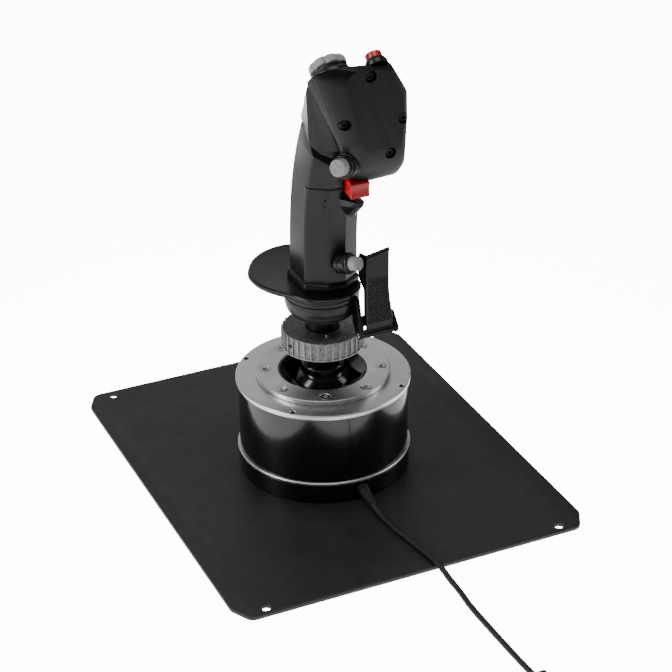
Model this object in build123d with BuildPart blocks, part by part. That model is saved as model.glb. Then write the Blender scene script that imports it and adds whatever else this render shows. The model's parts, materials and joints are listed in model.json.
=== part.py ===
"""Flight joystick: weighted plate, round gimbal base and a pilot's grip.

Millimetres. +Z is up, +Y points forward (away from the user) and +X to the user's right.
The origin is on the axis of the round base, on the underside of the plate.
"""

from build123d import *
import math
import os

os.makedirs("parts", exist_ok=True)

# ---------------------------------------------------------------- driving dimensions

# weighted plate
PLATE_X = 253.0
PLATE_Y = 303.0
PLATE_T = 3.0
PLATE_CHAMFER_X = 8.0
PLATE_CHAMFER_Y = 15.0
PLATE_HOLE_R = 3.1
PLATE_HOLE_INSET_X = 20.8
PLATE_HOLE_INSET_Y = 6.6

# round base
BASE_R = 60.0
SHELL_R = 58.5
BORE_R = 55.5
FLOOR_TOP = 8.0
LOWER_TOP = 17.0
TRIM_TOP = 19.2
SHELL_TOP = 68.3
FLANGE_TOP = 71.8
COVER_R = 46.2
COVER_TOP = 75.5
GATE_R = 30.2
GATE_HALF = 21.5
COVER_SCREW_R = 39.8
FLANGE_SCREW_R = 57.0
ROD_R = 50.0
ROD_STUD_R = 1.45
ROD_HOLE_DEPTH = 2.6
ROD_STUD_LENGTH = 6.0

# gimbal
PIVOT_Z = 56.0
DOME_R = 24.0
DOME_T = 1.5
TRUNNION_R = 2.5
RUNNING_FIT = 0.05
CAGE_Z = 24.0
CAGE_T = 4.0
SHAFT_FOOT = 27.0

# lock ring and grip neck
RING_BOTTOM = 95.1
RING_TOP = 108.3
RING_R = 27.2
RIDGE_R = 28.3
RIDGES = 36
STUD_R = 18.0
STUD_TOP = 101.0
NECK_R = 11.2
NECK_BORE_R = 8.0

# grip
BOWL_BOTTOM = 117.5
REST_Z = 137.0
REST_T = 4.0
REST_TOP = REST_Z + REST_T
HANDLE_X = -4.0
THUMB_TILT = 50.0
RIDGE_Y = 27.0
RIDGE_Z = 303.0
HEAD_REAR_Y = -13.0
PARTING_Y = 20.0
FRONT_Y = 33.0


def thumb_plane(x, along, height=0.0):
    """Plane on the sloping thumb face, at x, a distance down from its top ridge."""
    tilt = math.radians(THUMB_TILT)
    y = RIDGE_Y - along * math.cos(tilt) - height * math.sin(tilt)
    z = RIDGE_Z - along * math.sin(tilt) + height * math.cos(tilt)
    return Plane(origin=(x, y, z), x_dir=(1, 0, 0), z_dir=(0, -math.sin(tilt), math.cos(tilt)))


def axis_plane(origin, direction):
    """Plane at origin whose normal is direction, with a level x direction."""
    normal = Vector(*direction).normalized()
    level = Vector(0, 0, 1).cross(normal).normalized()
    return Plane(origin=origin, x_dir=level, z_dir=normal)


# ---------------------------------------------------------------- weighted plate

with BuildPart() as base_plate:
    with BuildSketch(Plane.XY):
        half_x = PLATE_X / 2
        half_y = PLATE_Y / 2
        Polygon(
            (half_x, half_y - PLATE_CHAMFER_Y),
            (half_x - PLATE_CHAMFER_X, half_y),
            (-half_x + PLATE_CHAMFER_X, half_y),
            (-half_x, half_y - PLATE_CHAMFER_Y),
            (-half_x, -half_y + PLATE_CHAMFER_Y),
            (-half_x + PLATE_CHAMFER_X, -half_y),
            (half_x - PLATE_CHAMFER_X, -half_y),
            (half_x, -half_y + PLATE_CHAMFER_Y),
            align=None,
        )
    extrude(amount=PLATE_T)
    fillet(base_plate.edges().filter_by(Axis.Z), radius=7)
    chamfer(base_plate.faces().sort_by(Axis.Z)[-1].outer_wire().edges(), length=0.5)
    with Locations((0, 0, PLATE_T)):
        with GridLocations(PLATE_X - 2 * PLATE_HOLE_INSET_X, PLATE_Y - 2 * PLATE_HOLE_INSET_Y, 2, 2):
            CounterSinkHole(PLATE_HOLE_R, PLATE_HOLE_R + 0.5)
    with Locations(Plane(origin=(0, 0, 0), z_dir=(0, 0, -1))):
        with PolarLocations(40, 4, start_angle=45):
            CounterSinkHole(2.1, 4.0)
base_plate.part.label = "base_plate"
export_step(base_plate.part, "parts/base_plate.step")

with BuildPart() as plate_screws:
    with PolarLocations(40, 4, start_angle=45):
        with Locations((0, 0, 0.1)):
            Cone(3.7, 2.0, 1.7, align=(Align.CENTER, Align.CENTER, Align.MIN))
            Cylinder(2.0, 7.4, align=(Align.CENTER, Align.CENTER, Align.MIN))
plate_screws.part.label = "plate_screws"
export_step(plate_screws.part, "parts/plate_screws.step")

# ---------------------------------------------------------------- base housing

CABLE_X = -2.0
CABLE_EXIT_Z = 10.5
RELIEF_R = 3.6

with BuildPart() as lower_housing:
    with BuildSketch(Plane.XY.offset(PLATE_T)):
        Circle(SHELL_R + 0.9)
    extrude(amount=LOWER_TOP - PLATE_T)
    with BuildSketch(Plane.XY.offset(FLOOR_TOP)):
        Circle(BORE_R)
    extrude(amount=LOWER_TOP - FLOOR_TOP, mode=Mode.SUBTRACT)
    with BuildSketch(Plane.XY.offset(PLATE_T)):
        with PolarLocations(40, 4, start_angle=45):
            Circle(2.0)
    extrude(amount=FLOOR_TOP - PLATE_T, mode=Mode.SUBTRACT)
    with BuildSketch(Plane.XZ.offset(-BORE_R + 5)):
        with Locations((CABLE_X, CABLE_EXIT_Z)):
            Circle(RELIEF_R)
    extrude(amount=-12, mode=Mode.SUBTRACT)
lower_housing.part.label = "lower_housing"
export_step(lower_housing.part, "parts/lower_housing.step")

with BuildPart() as trim_ring:
    with BuildSketch(Plane.XY.offset(LOWER_TOP)):
        Circle(BASE_R)
        Circle(BORE_R, mode=Mode.SUBTRACT)
    extrude(amount=TRIM_TOP - LOWER_TOP)
    fillet(trim_ring.edges().filter_by(GeomType.CIRCLE).group_by(SortBy.RADIUS)[-1], radius=0.9)
trim_ring.part.label = "trim_ring"
export_step(trim_ring.part, "parts/trim_ring.step")

with BuildPart() as base_shell:
    with BuildSketch(Plane.XY.offset(TRIM_TOP)):
        Circle(SHELL_R)
        Circle(BORE_R, mode=Mode.SUBTRACT)
    extrude(amount=SHELL_TOP - TRIM_TOP)
    with BuildSketch(Plane.XY.offset(SHELL_TOP - 5)):
        with PolarLocations(FLANGE_SCREW_R, 4, start_angle=45):
            Circle(0.8)
    extrude(amount=5, mode=Mode.SUBTRACT)
base_shell.part.label = "base_shell"
export_step(base_shell.part, "parts/base_shell.step")

with BuildPart() as top_flange:
    with BuildSketch(Plane.XY.offset(SHELL_TOP)):
        Circle(BASE_R)
        Circle(GATE_R + 0.1, mode=Mode.SUBTRACT)
        with PolarLocations(COVER_SCREW_R, 8, start_angle=22.5):
            Circle(1.9, mode=Mode.SUBTRACT)
    extrude(amount=FLANGE_TOP - SHELL_TOP)
    with BuildSketch(Plane.XY.offset(SHELL_TOP)):
        with PolarLocations(ROD_R, 4):
            Circle(ROD_STUD_R + RUNNING_FIT)
    extrude(amount=ROD_HOLE_DEPTH, mode=Mode.SUBTRACT)
    with Locations((0, 0, FLANGE_TOP)):
        with PolarLocations(FLANGE_SCREW_R, 4, start_angle=45):
            CounterBoreHole(0.8, 1.5, 2.2)
    chamfer(top_flange.edges().filter_by(GeomType.CIRCLE).group_by(SortBy.RADIUS)[-1], length=0.5)
top_flange.part.label = "top_flange"
export_step(top_flange.part, "parts/top_flange.step")

with BuildPart() as flange_screws:
    with BuildSketch(Plane.XY.offset(FLANGE_TOP - 2.2)):
        with PolarLocations(FLANGE_SCREW_R, 4, start_angle=45):
            Circle(1.4)
    extrude(amount=1.4)
    with BuildSketch(Plane.XY.offset(SHELL_TOP - 4.5)):
        with PolarLocations(FLANGE_SCREW_R, 4, start_angle=45):
            Circle(0.8)
    extrude(amount=FLANGE_TOP - 2.2 - SHELL_TOP + 4.5)
    with BuildSketch(Plane.XY.offset(FLANGE_TOP - 0.8)):
        with PolarLocations(FLANGE_SCREW_R, 4, start_angle=45):
            RegularPolygon(0.75, 6)
    extrude(amount=-0.7, mode=Mode.SUBTRACT)
flange_screws.part.label = "flange_screws"
export_step(flange_screws.part, "parts/flange_screws.step")

with BuildPart() as cover_ring:
    with BuildSketch(Plane.XZ):
        with BuildLine():
            Polyline(
                (GATE_R + 0.1, FLANGE_TOP),
                (COVER_R - 0.8, FLANGE_TOP),
                (COVER_R - 0.8, FLANGE_TOP + 0.6),
                (COVER_R, FLANGE_TOP + 0.6),
                (COVER_R, COVER_TOP),
                (GATE_R + 0.1, COVER_TOP),
                close=True,
            )
        make_face()
    revolve(axis=Axis.Z)
    top_rims = cover_ring.faces().sort_by(Axis.Z)[-1].edges()
    fillet(top_rims.sort_by(SortBy.RADIUS)[-1], radius=1.1)
    with Locations((0, 0, COVER_TOP)):
        with PolarLocations(COVER_SCREW_R, 8, start_angle=22.5):
            CounterSinkHole(1.9, 4.1)
cover_ring.part.label = "cover_ring"
export_step(cover_ring.part, "parts/cover_ring.step")

with BuildPart() as cover_ring_screws:
    with BuildSketch(Plane.XY.offset(SHELL_TOP - 2.5)):
        with PolarLocations(COVER_SCREW_R, 8, start_angle=22.5):
            Circle(1.8)
    extrude(amount=COVER_TOP - SHELL_TOP + 0.2)
    with PolarLocations(COVER_SCREW_R, 8, start_angle=22.5):
        with Locations((0, 0, COVER_TOP - 0.25)):
            Cone(1.8, 3.85, 2.05, align=(Align.CENTER, Align.CENTER, Align.MAX))
    with BuildSketch(Plane.XY.offset(COVER_TOP)):
        with PolarLocations(COVER_SCREW_R, 8, start_angle=22.5):
            RegularPolygon(1.7, 6)
    extrude(amount=-1.6, mode=Mode.SUBTRACT)
cover_ring_screws.part.label = "cover_ring_screws"
export_step(cover_ring_screws.part, "parts/cover_ring_screws.step")

with BuildPart() as gate_cup:
    with BuildSketch(Plane.XY.offset(SHELL_TOP - 2.8)):
        Circle(44)
    extrude(amount=2.8)
    with BuildSketch(Plane.XY.offset(SHELL_TOP - 2.8)):
        Circle(GATE_R)
    extrude(amount=COVER_TOP - 0.3 - SHELL_TOP + 2.8)
    with BuildSketch(Plane.XY.offset(SHELL_TOP - 2.8)):
        RectangleRounded(2 * GATE_HALF, 2 * GATE_HALF, 7)
    extrude(amount=COVER_TOP - SHELL_TOP + 3, mode=Mode.SUBTRACT)
    with BuildSketch(Plane.XZ):
        with BuildLine():
            Polyline(
                (0, COVER_TOP),
                (GATE_R - 0.9, COVER_TOP),
                (GATE_R - 0.9, COVER_TOP - 0.5),
                (20.5, COVER_TOP - 5.5),
                (0, COVER_TOP - 5.5),
                close=True,
            )
        make_face()
    revolve(axis=Axis.Z, mode=Mode.SUBTRACT)
    with BuildSketch(Plane.XY.offset(SHELL_TOP - 2.8)):
        with PolarLocations(COVER_SCREW_R, 8, start_angle=22.5):
            Circle(1.8)
    extrude(amount=2.8, mode=Mode.SUBTRACT)
    with BuildSketch(Plane.XY.offset(SHELL_TOP - 2.8)):
        Circle(DOME_R - 0.9)
    extrude(amount=2.2, mode=Mode.SUBTRACT)
gate_cup.part.label = "gate_cup"
export_step(gate_cup.part, "parts/gate_cup.step")

# ---------------------------------------------------------------- gimbal, fixed side

POST_X = 15.5
POST_T = 4.0

with BuildPart() as gimbal_cage:
    with BuildSketch(Plane.XY.offset(CAGE_Z)):
        Circle(BORE_R - 0.5)
        Circle(21, mode=Mode.SUBTRACT)
        with PolarLocations(ROD_R, 4):
            Circle(ROD_STUD_R + RUNNING_FIT, mode=Mode.SUBTRACT)
    extrude(amount=CAGE_T)
    for side in (-1, 1):
        with BuildSketch(Plane.XY.offset(CAGE_Z)):
            with Locations((side * (POST_X + 7.25), 0)):
                Rectangle(14.5, 14)
        extrude(amount=16)
        with BuildSketch(Plane.YZ.offset(side * POST_X)):
            with Locations((0, (PIVOT_Z + CAGE_Z) / 2)):
                Rectangle(11, PIVOT_Z - CAGE_Z)
            with Locations((0, PIVOT_Z)):
                Circle(5.5)
        extrude(amount=side * POST_T)
        with BuildSketch(Plane.YZ.offset(side * POST_X)):
            with Locations((0, PIVOT_Z)):
                Circle(3.9)
        extrude(amount=side * POST_T, mode=Mode.SUBTRACT)
gimbal_cage.part.label = "gimbal_cage"
export_step(gimbal_cage.part, "parts/gimbal_cage.step")

with BuildPart() as pitch_bushes:
    for side in (-1, 1):
        with BuildSketch(Plane.YZ.offset(side * POST_X)):
            with Locations((0, PIVOT_Z)):
                Circle(3.9)
                Circle(TRUNNION_R + RUNNING_FIT, mode=Mode.SUBTRACT)
        extrude(amount=side * POST_T)
pitch_bushes.part.label = "pitch_bushes"
export_step(pitch_bushes.part, "parts/pitch_bushes.step")

with BuildPart() as cage_standoffs:
    with BuildSketch(Plane.XY.offset(FLOOR_TOP)):
        with PolarLocations(ROD_R, 4):
            RegularPolygon(3.5, 6)
    extrude(amount=CAGE_Z - FLOOR_TOP)
    with BuildSketch(Plane.XY.offset(CAGE_Z - ROD_STUD_LENGTH)):
        with PolarLocations(ROD_R, 4):
            Circle(ROD_STUD_R + RUNNING_FIT)
    extrude(amount=ROD_STUD_LENGTH, mode=Mode.SUBTRACT)
cage_standoffs.part.label = "cage_standoffs"
export_step(cage_standoffs.part, "parts/cage_standoffs.step")

with BuildPart() as tie_rods:
    with BuildSketch(Plane.XY.offset(CAGE_Z + CAGE_T)):
        with PolarLocations(ROD_R, 4):
            Circle(3)
    extrude(amount=SHELL_TOP - CAGE_Z - CAGE_T)
    with BuildSketch(Plane.XY.offset(CAGE_Z - ROD_STUD_LENGTH)):
        with PolarLocations(ROD_R, 4):
            Circle(ROD_STUD_R)
    extrude(amount=SHELL_TOP + ROD_HOLE_DEPTH - 0.3 - CAGE_Z + ROD_STUD_LENGTH)
tie_rods.part.label = "tie_rods"
export_step(tie_rods.part, "parts/tie_rods.step")

# ---------------------------------------------------------------- gimbal, moving side

with BuildPart() as gimbal_ring:
    with BuildSketch(Plane.XY.offset(PIVOT_Z - 4)):
        Circle(14.3)
        Circle(9.2, mode=Mode.SUBTRACT)
    extrude(amount=8)
    for side in (-1, 1):
        with BuildSketch(Plane.YZ.offset(side * 12)):
            with Locations((0, PIVOT_Z)):
                Circle(TRUNNION_R)
        extrude(amount=side * 7.3)
    with BuildSketch(Plane.XZ.offset(-16)):
        with Locations((0, PIVOT_Z)):
            Circle(3.6)
    extrude(amount=32, mode=Mode.SUBTRACT)
gimbal_ring.part.label = "gimbal_ring"
export_step(gimbal_ring.part, "parts/gimbal_ring.step")

with BuildPart() as roll_bushes:
    for side in (-1, 1):
        with BuildSketch(Plane.XZ.offset(side * 9.6)):
            with Locations((0, PIVOT_Z)):
                Circle(3.6)
                Circle(TRUNNION_R + RUNNING_FIT, mode=Mode.SUBTRACT)
        extrude(amount=side * 4)
roll_bushes.part.label = "roll_bushes"
export_step(roll_bushes.part, "parts/roll_bushes.step")

with BuildPart() as cross_pin:
    with BuildSketch(Plane.XZ.offset(-13.8)):
        with Locations((0, PIVOT_Z)):
            Circle(TRUNNION_R)
    extrude(amount=27.6)
cross_pin.part.label = "cross_pin"
export_step(cross_pin.part, "parts/cross_pin.step")

with BuildPart() as stick_shaft:
    with BuildSketch(Plane.XZ):
        with BuildLine():
            Polyline(
                (0, SHAFT_FOOT),
                (3.5, SHAFT_FOOT),
                (3.5, SHAFT_FOOT + 4),
                (8, SHAFT_FOOT + 4),
                (8, SHAFT_FOOT + 6.5),
                (5, SHAFT_FOOT + 6.5),
                (5, PIVOT_Z - 5),
                (7, PIVOT_Z - 5),
                (7, PIVOT_Z + 5),
                (5, PIVOT_Z + 5),
                (5, 86),
                (0, 86),
                close=True,
            )
        make_face()
    revolve(axis=Axis.Z)
    with BuildSketch(Plane.XZ.offset(-10)):
        with Locations((0, PIVOT_Z)):
            Circle(TRUNNION_R)
    extrude(amount=20, mode=Mode.SUBTRACT)
    with BuildSketch(Plane.XY.offset(SHAFT_FOOT)):
        Circle(2.5)
    extrude(amount=2, mode=Mode.SUBTRACT)
stick_shaft.part.label = "stick_shaft"
export_step(stick_shaft.part, "parts/stick_shaft.step")

with BuildPart() as sensor_magnet:
    with BuildSketch(Plane.XY.offset(SHAFT_FOOT - 0.4)):
        Circle(2.5)
    extrude(amount=2.4)
sensor_magnet.part.label = "sensor_magnet"
export_step(sensor_magnet.part, "parts/sensor_magnet.step")

SPRING_R = 6.6
SPRING_WIRE_R = 0.7
SPRING_BOTTOM = 9.5
SPRING_TOP = 30.1

with BuildPart() as centring_spring:
    with BuildLine():
        coil = Helix(
            pitch=(SPRING_TOP - SPRING_BOTTOM) / 7,
            height=SPRING_TOP - SPRING_BOTTOM,
            radius=SPRING_R,
            center=(0, 0, SPRING_BOTTOM),
        )
    with BuildSketch(Plane(origin=coil @ 0, z_dir=coil % 0)):
        Circle(SPRING_WIRE_R)
    sweep(path=coil, is_frenet=True)
centring_spring.part.label = "centring_spring"
export_step(centring_spring.part, "parts/centring_spring.step")

with BuildPart() as dust_dome:
    with BuildSketch(Plane.XZ):
        tier_r = 14.5
        tier_top = PIVOT_Z + 25.5
        rim_h = 0.5
        outer_end = math.sqrt(DOME_R**2 - tier_r**2)
        inner_r = DOME_R - DOME_T
        bore_h = math.sqrt(inner_r**2 - 5.0**2)
        rim_inside = (math.sqrt(inner_r**2 - rim_h**2), PIVOT_Z + rim_h)
        rim_outside = (math.sqrt(DOME_R**2 - rim_h**2), PIVOT_Z + rim_h)
        with BuildLine():
            Line(rim_inside, rim_outside)
            RadiusArc(rim_outside, (tier_r, PIVOT_Z + outer_end), -DOME_R)
            Line((tier_r, PIVOT_Z + outer_end), (tier_r, tier_top - 2))
            RadiusArc((tier_r, tier_top - 2), (tier_r - 2, tier_top), -2)
            Line((tier_r - 2, tier_top), (5, tier_top))
            Line((5, tier_top), (5, PIVOT_Z + bore_h))
            RadiusArc((5, PIVOT_Z + bore_h), rim_inside, inner_r)
        make_face()
    revolve(axis=Axis.Z)
dust_dome.part.label = "dust_dome"
export_step(dust_dome.part, "parts/dust_dome.step")

with BuildPart() as grip_socket:
    with BuildSketch(Plane.XZ):
        with BuildLine():
            Polyline((5, 81.5), (11, 81.5), (11, 83.5))
            RadiusArc((11, 83.5), (20, 92), 10)
            Polyline(
                (20, 92),
                (20, RING_BOTTOM - 0.6),
                (STUD_R, RING_BOTTOM - 0.6),
                (STUD_R, STUD_TOP),
                (12, STUD_TOP),
                (12, 90),
                (5, 86),
                (5, 81.5),
            )
        make_face()
    revolve(axis=Axis.Z)
grip_socket.part.label = "grip_socket"
export_step(grip_socket.part, "parts/grip_socket.step")

# ---------------------------------------------------------------- lock ring

with BuildPart() as lock_ring:
    with BuildSketch(Plane.XY.offset(RING_BOTTOM)):
        Circle(RING_R)
    extrude(amount=RING_TOP - RING_BOTTOM)
    with BuildSketch(Plane.XY.offset(RING_BOTTOM)):
        Circle(RIDGE_R)
    extrude(amount=1.3)
    with BuildSketch(Plane.XY.offset(RING_BOTTOM)):
        with PolarLocations(RING_R, RIDGES):
            Rectangle(2 * (RIDGE_R - RING_R), 1.5)
    extrude(amount=RING_TOP - RING_BOTTOM - 0.2)
    with BuildSketch(Plane.XY.offset(RING_BOTTOM)):
        Circle(STUD_R + RUNNING_FIT)
    extrude(amount=9.9, mode=Mode.SUBTRACT)
    with BuildSketch(Plane.XY.offset(RING_BOTTOM)):
        Circle(NECK_R + 0.1)
    extrude(amount=RING_TOP - RING_BOTTOM, mode=Mode.SUBTRACT)
    with BuildSketch(Plane(origin=(0, 0, 101.5), x_dir=(0, 0, 1), z_dir=(0.969, 0.249, 0))):
        Circle(1.7)
    extrude(amount=40, mode=Mode.SUBTRACT)
    with BuildSketch(Plane.XY.offset(RING_TOP)):
        with Locations((3.3, 15.5)):
            Circle(1.2)
    extrude(amount=-2, mode=Mode.SUBTRACT)
lock_ring.part.label = "lock_ring"
export_step(lock_ring.part, "parts/lock_ring.step")

with BuildPart() as lock_ring_pin:
    with BuildSketch(Plane.XY.offset(RING_TOP - 2)):
        with Locations((3.3, 15.5)):
            Circle(1.2)
    extrude(amount=3.3)
    fillet(lock_ring_pin.faces().sort_by(Axis.Z)[-1].edges(), radius=0.4)
lock_ring_pin.part.label = "lock_ring_pin"
export_step(lock_ring_pin.part, "parts/lock_ring_pin.step")

# ---------------------------------------------------------------- grip foot

with BuildPart() as grip_neck:
    with BuildSketch(Plane.XY.offset(STUD_TOP)):
        Circle(16.5)
    extrude(amount=3.9)
    with BuildSketch(Plane.XY.offset(STUD_TOP)):
        Circle(NECK_R)
    extrude(amount=BOWL_BOTTOM - STUD_TOP)
    with BuildSketch(Plane.XY.offset(STUD_TOP)):
        Circle(NECK_BORE_R)
    extrude(amount=BOWL_BOTTOM - STUD_TOP, mode=Mode.SUBTRACT)
grip_neck.part.label = "grip_neck"
export_step(grip_neck.part, "parts/grip_neck.step")

with BuildPart() as grip_plug:
    with BuildSketch(Plane.XY.offset(92.5)):
        Circle(7.2)
        Circle(4.5, mode=Mode.SUBTRACT)
    extrude(amount=STUD_TOP - 92.5)
    with BuildSketch(Plane.XY.offset(STUD_TOP)):
        Circle(NECK_BORE_R)
        Circle(4.5, mode=Mode.SUBTRACT)
    extrude(amount=4)
grip_plug.part.label = "grip_plug"
export_step(grip_plug.part, "parts/grip_plug.step")

with BuildPart() as lower_collar:
    with BuildSketch(Plane.XZ):
        with BuildLine():
            Polyline(
                (NECK_BORE_R, BOWL_BOTTOM),
                (17.2, BOWL_BOTTOM),
                (18.4, BOWL_BOTTOM + 1.2),
                (18.4, 119.5),
                (19.4, 120.2),
            )
            RadiusArc((19.4, 120.2), (25.3, 130.5), -16)
            Polyline(
                (25.3, 130.5),
                (25.3, 133.4),
                (24.6, 133.8),
                (24.6, 134.4),
                (25.6, 134.8),
                (25.6, REST_Z),
                (NECK_BORE_R, REST_Z),
                (NECK_BORE_R, BOWL_BOTTOM),
            )
        make_face()
    revolve(axis=Axis.Z)
lower_collar.part.label = "lower_collar"
export_step(lower_collar.part, "parts/lower_collar.step")

with BuildPart() as hand_rest:
    with BuildSketch(Plane.XY.offset(REST_Z)):
        with BuildLine():
            ThreePointArc((25.5, 9.0), (2.0, 27.0), (-24.0, 11.0))
            Spline((-24.0, 11.0), (-24.5, -10.0), (-22.0, -38.0), (-8.0, -61.0))
            Spline((-8.0, -61.0), (8.0, -64.0), (26.0, -55.0), (38.5, -37.0), (40.5, -22.0))
            Spline((40.5, -22.0), (36.0, -6.5), (25.5, 9.0))
        make_face()
    extrude(amount=REST_T)
    fillet(hand_rest.faces().sort_by(Axis.Z)[-1].edges(), radius=1.6)
    fillet(hand_rest.faces().sort_by(Axis.Z)[0].edges(), radius=1.4)
    with BuildSketch(Plane.XY.offset(REST_Z)):
        Circle(NECK_BORE_R)
    extrude(amount=REST_T, mode=Mode.SUBTRACT)
hand_rest.part.label = "hand_rest"
export_step(hand_rest.part, "parts/hand_rest.step")


# ---------------------------------------------------------------- paddle lever

PADDLE_Y = 29.0
PADDLE_Z = 111.5
PADDLE_RIGHT = -19.4
PADDLE_LEFT = -36.0
BRACKET_RIGHT = -13.5
BRACKET_LEFT = -42.0
EAR_T = 2.6
PIN_R = 1.25

with BuildPart() as paddle_bracket:
    with BuildSketch(Plane.YZ.offset(BRACKET_RIGHT)):
        with BuildLine():
            Polyline((25.5, REST_Z), (32.6, 113), (32.2, 110), (30, 108.6))
            Polyline((30, 108.6), (26, 108.6), (20, 117), (14, 128), (14, REST_Z), (25.5, REST_Z))
        make_face()
    extrude(amount=-EAR_T)
    with BuildSketch(Plane.YZ.offset(BRACKET_LEFT)):
        with BuildLine():
            Polyline((25, 122), (32.6, 113), (32.2, 110), (30, 108.6))
            Polyline((30, 108.6), (26, 108.6), (21.5, 113), (21.5, 122), (25, 122))
        make_face()
    extrude(amount=EAR_T)
    with BuildSketch(Plane.XZ.offset(-21.5)):
        with Locations(((BRACKET_LEFT + BRACKET_RIGHT) / 2, 117.5)):
            Rectangle(BRACKET_RIGHT - BRACKET_LEFT, 9)
    extrude(amount=-2.2)
    add(lower_collar.part, mode=Mode.SUBTRACT)
    with BuildSketch(Plane.YZ.offset(BRACKET_LEFT - 1)):
        with Locations((PADDLE_Y, PADDLE_Z)):
            Circle(PIN_R)
    extrude(amount=BRACKET_RIGHT - BRACKET_LEFT + 2, mode=Mode.SUBTRACT)
paddle_bracket.part.label = "paddle_bracket"
export_step(paddle_bracket.part, "parts/paddle_bracket.step")

with BuildPart() as paddle_pin:
    with BuildSketch(Plane.YZ.offset(BRACKET_LEFT - 1)):
        with Locations((PADDLE_Y, PADDLE_Z)):
            Circle(PIN_R)
    extrude(amount=BRACKET_RIGHT - BRACKET_LEFT + 1)
    with BuildSketch(Plane.YZ.offset(BRACKET_RIGHT)):
        with Locations((PADDLE_Y, PADDLE_Z)):
            Circle(2.0)
    extrude(amount=1.2)
    fillet(paddle_pin.faces().sort_by(Axis.X)[-1].edges(), radius=0.6)
paddle_pin.part.label = "paddle_pin"
export_step(paddle_pin.part, "parts/paddle_pin.step")

with BuildPart() as paddle_lever:
    lever_left = BRACKET_LEFT + EAR_T + 0.3
    lever_right = BRACKET_RIGHT - EAR_T - 0.3
    with BuildSketch(Plane.XZ.offset(-PADDLE_Y + 1)):
        with BuildLine():
            Polyline(
                (PADDLE_RIGHT, 112),
                (PADDLE_RIGHT, 169.5),
                (PADDLE_LEFT, 172.8),
                (PADDLE_LEFT + 0.2, 145),
                (PADDLE_LEFT - 0.8, 134),
                (PADDLE_LEFT - 2.0, 126),
                (lever_left, 117),
                (lever_left, 112),
                close=True,
            )
        make_face()
    extrude(amount=-2)
    fillet(paddle_lever.edges().filter_by(Axis.Y).sort_by(Axis.Z)[-2:], radius=1.2)
    with BuildSketch(Plane.YZ.offset(PADDLE_RIGHT)):
        with BuildLine():
            Polyline((28.5, 146), (28.5, 169), (17.5, 166.5), (15.5, 160), (16.5, 149), (20, 146), close=True)
        make_face()
    extrude(amount=-1.6)
    with BuildSketch(Plane.YZ.offset(lever_left)):
        with Locations((PADDLE_Y, PADDLE_Z)):
            Circle(2.8)
    extrude(amount=lever_right - lever_left)
    with BuildSketch(Plane.YZ.offset(lever_left)):
        with Locations((PADDLE_Y, PADDLE_Z)):
            Circle(PIN_R + RUNNING_FIT)
    extrude(amount=lever_right - lever_left, mode=Mode.SUBTRACT)
paddle_lever.part.label = "paddle_lever"
export_step(paddle_lever.part, "parts/paddle_lever.step")

# ---------------------------------------------------------------- grip head form

WALL = 2.6
SHOULDER_Y = 12.0
MIDDLE_Y = 28.0

# (x, z) corners of the head at five depths, from the user's side to the far side
REAR_OUTLINE = [
    (8, 300), (-34, 300), (-41, 280), (-42, 262), (-41, 246), (-36, 240), (3, 240), (8, 246),
]
SHOULDER_OUTLINE = [
    (15, 302), (-37.5, 300), (-47, 280), (-47.5, 262), (-46, 234), (-41.5, 229), (12.5, 229), (12.5, 244),
]
PARTING_OUTLINE = [
    (16.5, 305), (-39, 300), (-50, 280), (-50, 262), (-47.5, 231), (-43, 225), (-12, 223), (-4.7, 243),
]
MIDDLE_OUTLINE = [
    (9, 305), (-38, 299.5), (-49, 280), (-49.3, 262), (-47, 236), (-42.5, 229.5), (-14, 230), (-6, 248),
]
FRONT_OUTLINE = [
    (-1, 302.5), (-36, 298), (-44.5, 279), (-45, 262), (-43, 247), (-39, 244), (-19, 245), (-14.5, 253),
]


def head_section(y, outline, inset=0.0, corner=4.0):
    """The head's cross-section at y, as a sketch to loft through."""
    with BuildSketch(Plane.XZ.offset(-y)) as section:
        Polygon(*outline, align=None)
        fillet(section.vertices(), radius=corner)
        if inset:
            offset(amount=-inset)
    return section.sketch


# the head's lower edge on the user's right, which the handle comes out from under
UNDERCUT = Plane(origin=(12, 12, 247.7), x_dir=(1, 0, 0.74), z_dir=(0.74, -0.636, -1))

with BuildPart() as shell_form:
    loft(
        sections=[
            head_section(HEAD_REAR_Y, REAR_OUTLINE),
            head_section(SHOULDER_Y, SHOULDER_OUTLINE),
            head_section(PARTING_Y, PARTING_OUTLINE),
        ],
        ruled=True,
    )
    split(bisect_by=thumb_plane(0, 0), keep=Keep.BOTTOM)
    split(bisect_by=UNDERCUT, keep=Keep.BOTTOM)

with BuildPart() as cover_form:
    loft(
        sections=[
            head_section(PARTING_Y, PARTING_OUTLINE),
            head_section(MIDDLE_Y, MIDDLE_OUTLINE),
            head_section(FRONT_Y, FRONT_OUTLINE),
        ]
    )
    split(bisect_by=thumb_plane(0, 0), keep=Keep.BOTTOM)

# ---------------------------------------------------------------- where the controls sit

POCKET = 1.0
RED_PLANE = thumb_plane(-30, 5.5)
RED_COLLAR_R = 7.5
TRIM_PLANE = thumb_plane(-1.2, 13)
TRIM_COLLAR_R = 14.0
RIGHT_HAT_PLANE = thumb_plane(1.5, 48)
LEFT_HAT_PLANE = thumb_plane(-30, 40)
SIDE_HAT_PLANE = axis_plane((-45.5, 4, 262), (-1, 0, 0))
HAT_COLLARS = [(RIGHT_HAT_PLANE, 5.0), (LEFT_HAT_PLANE, 6.0), (SIDE_HAT_PLANE, 6.5)]

# the two barrel buttons stand on planes 14 mm behind the faces of their caps
BARREL_L = 14.0
SIDE_PLANE = axis_plane((2.5, 32.5, 238.0), (0.8, 0.55, 0.22)).offset(-BARREL_L)
SIDE_COLLAR_R = 8.4
LOWER_PLANE = axis_plane((-13.7, 30.0, 165.6), (-0.4, 0.87, 0.28)).offset(-BARREL_L)
LOWER_COLLAR_R = 7.2

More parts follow.
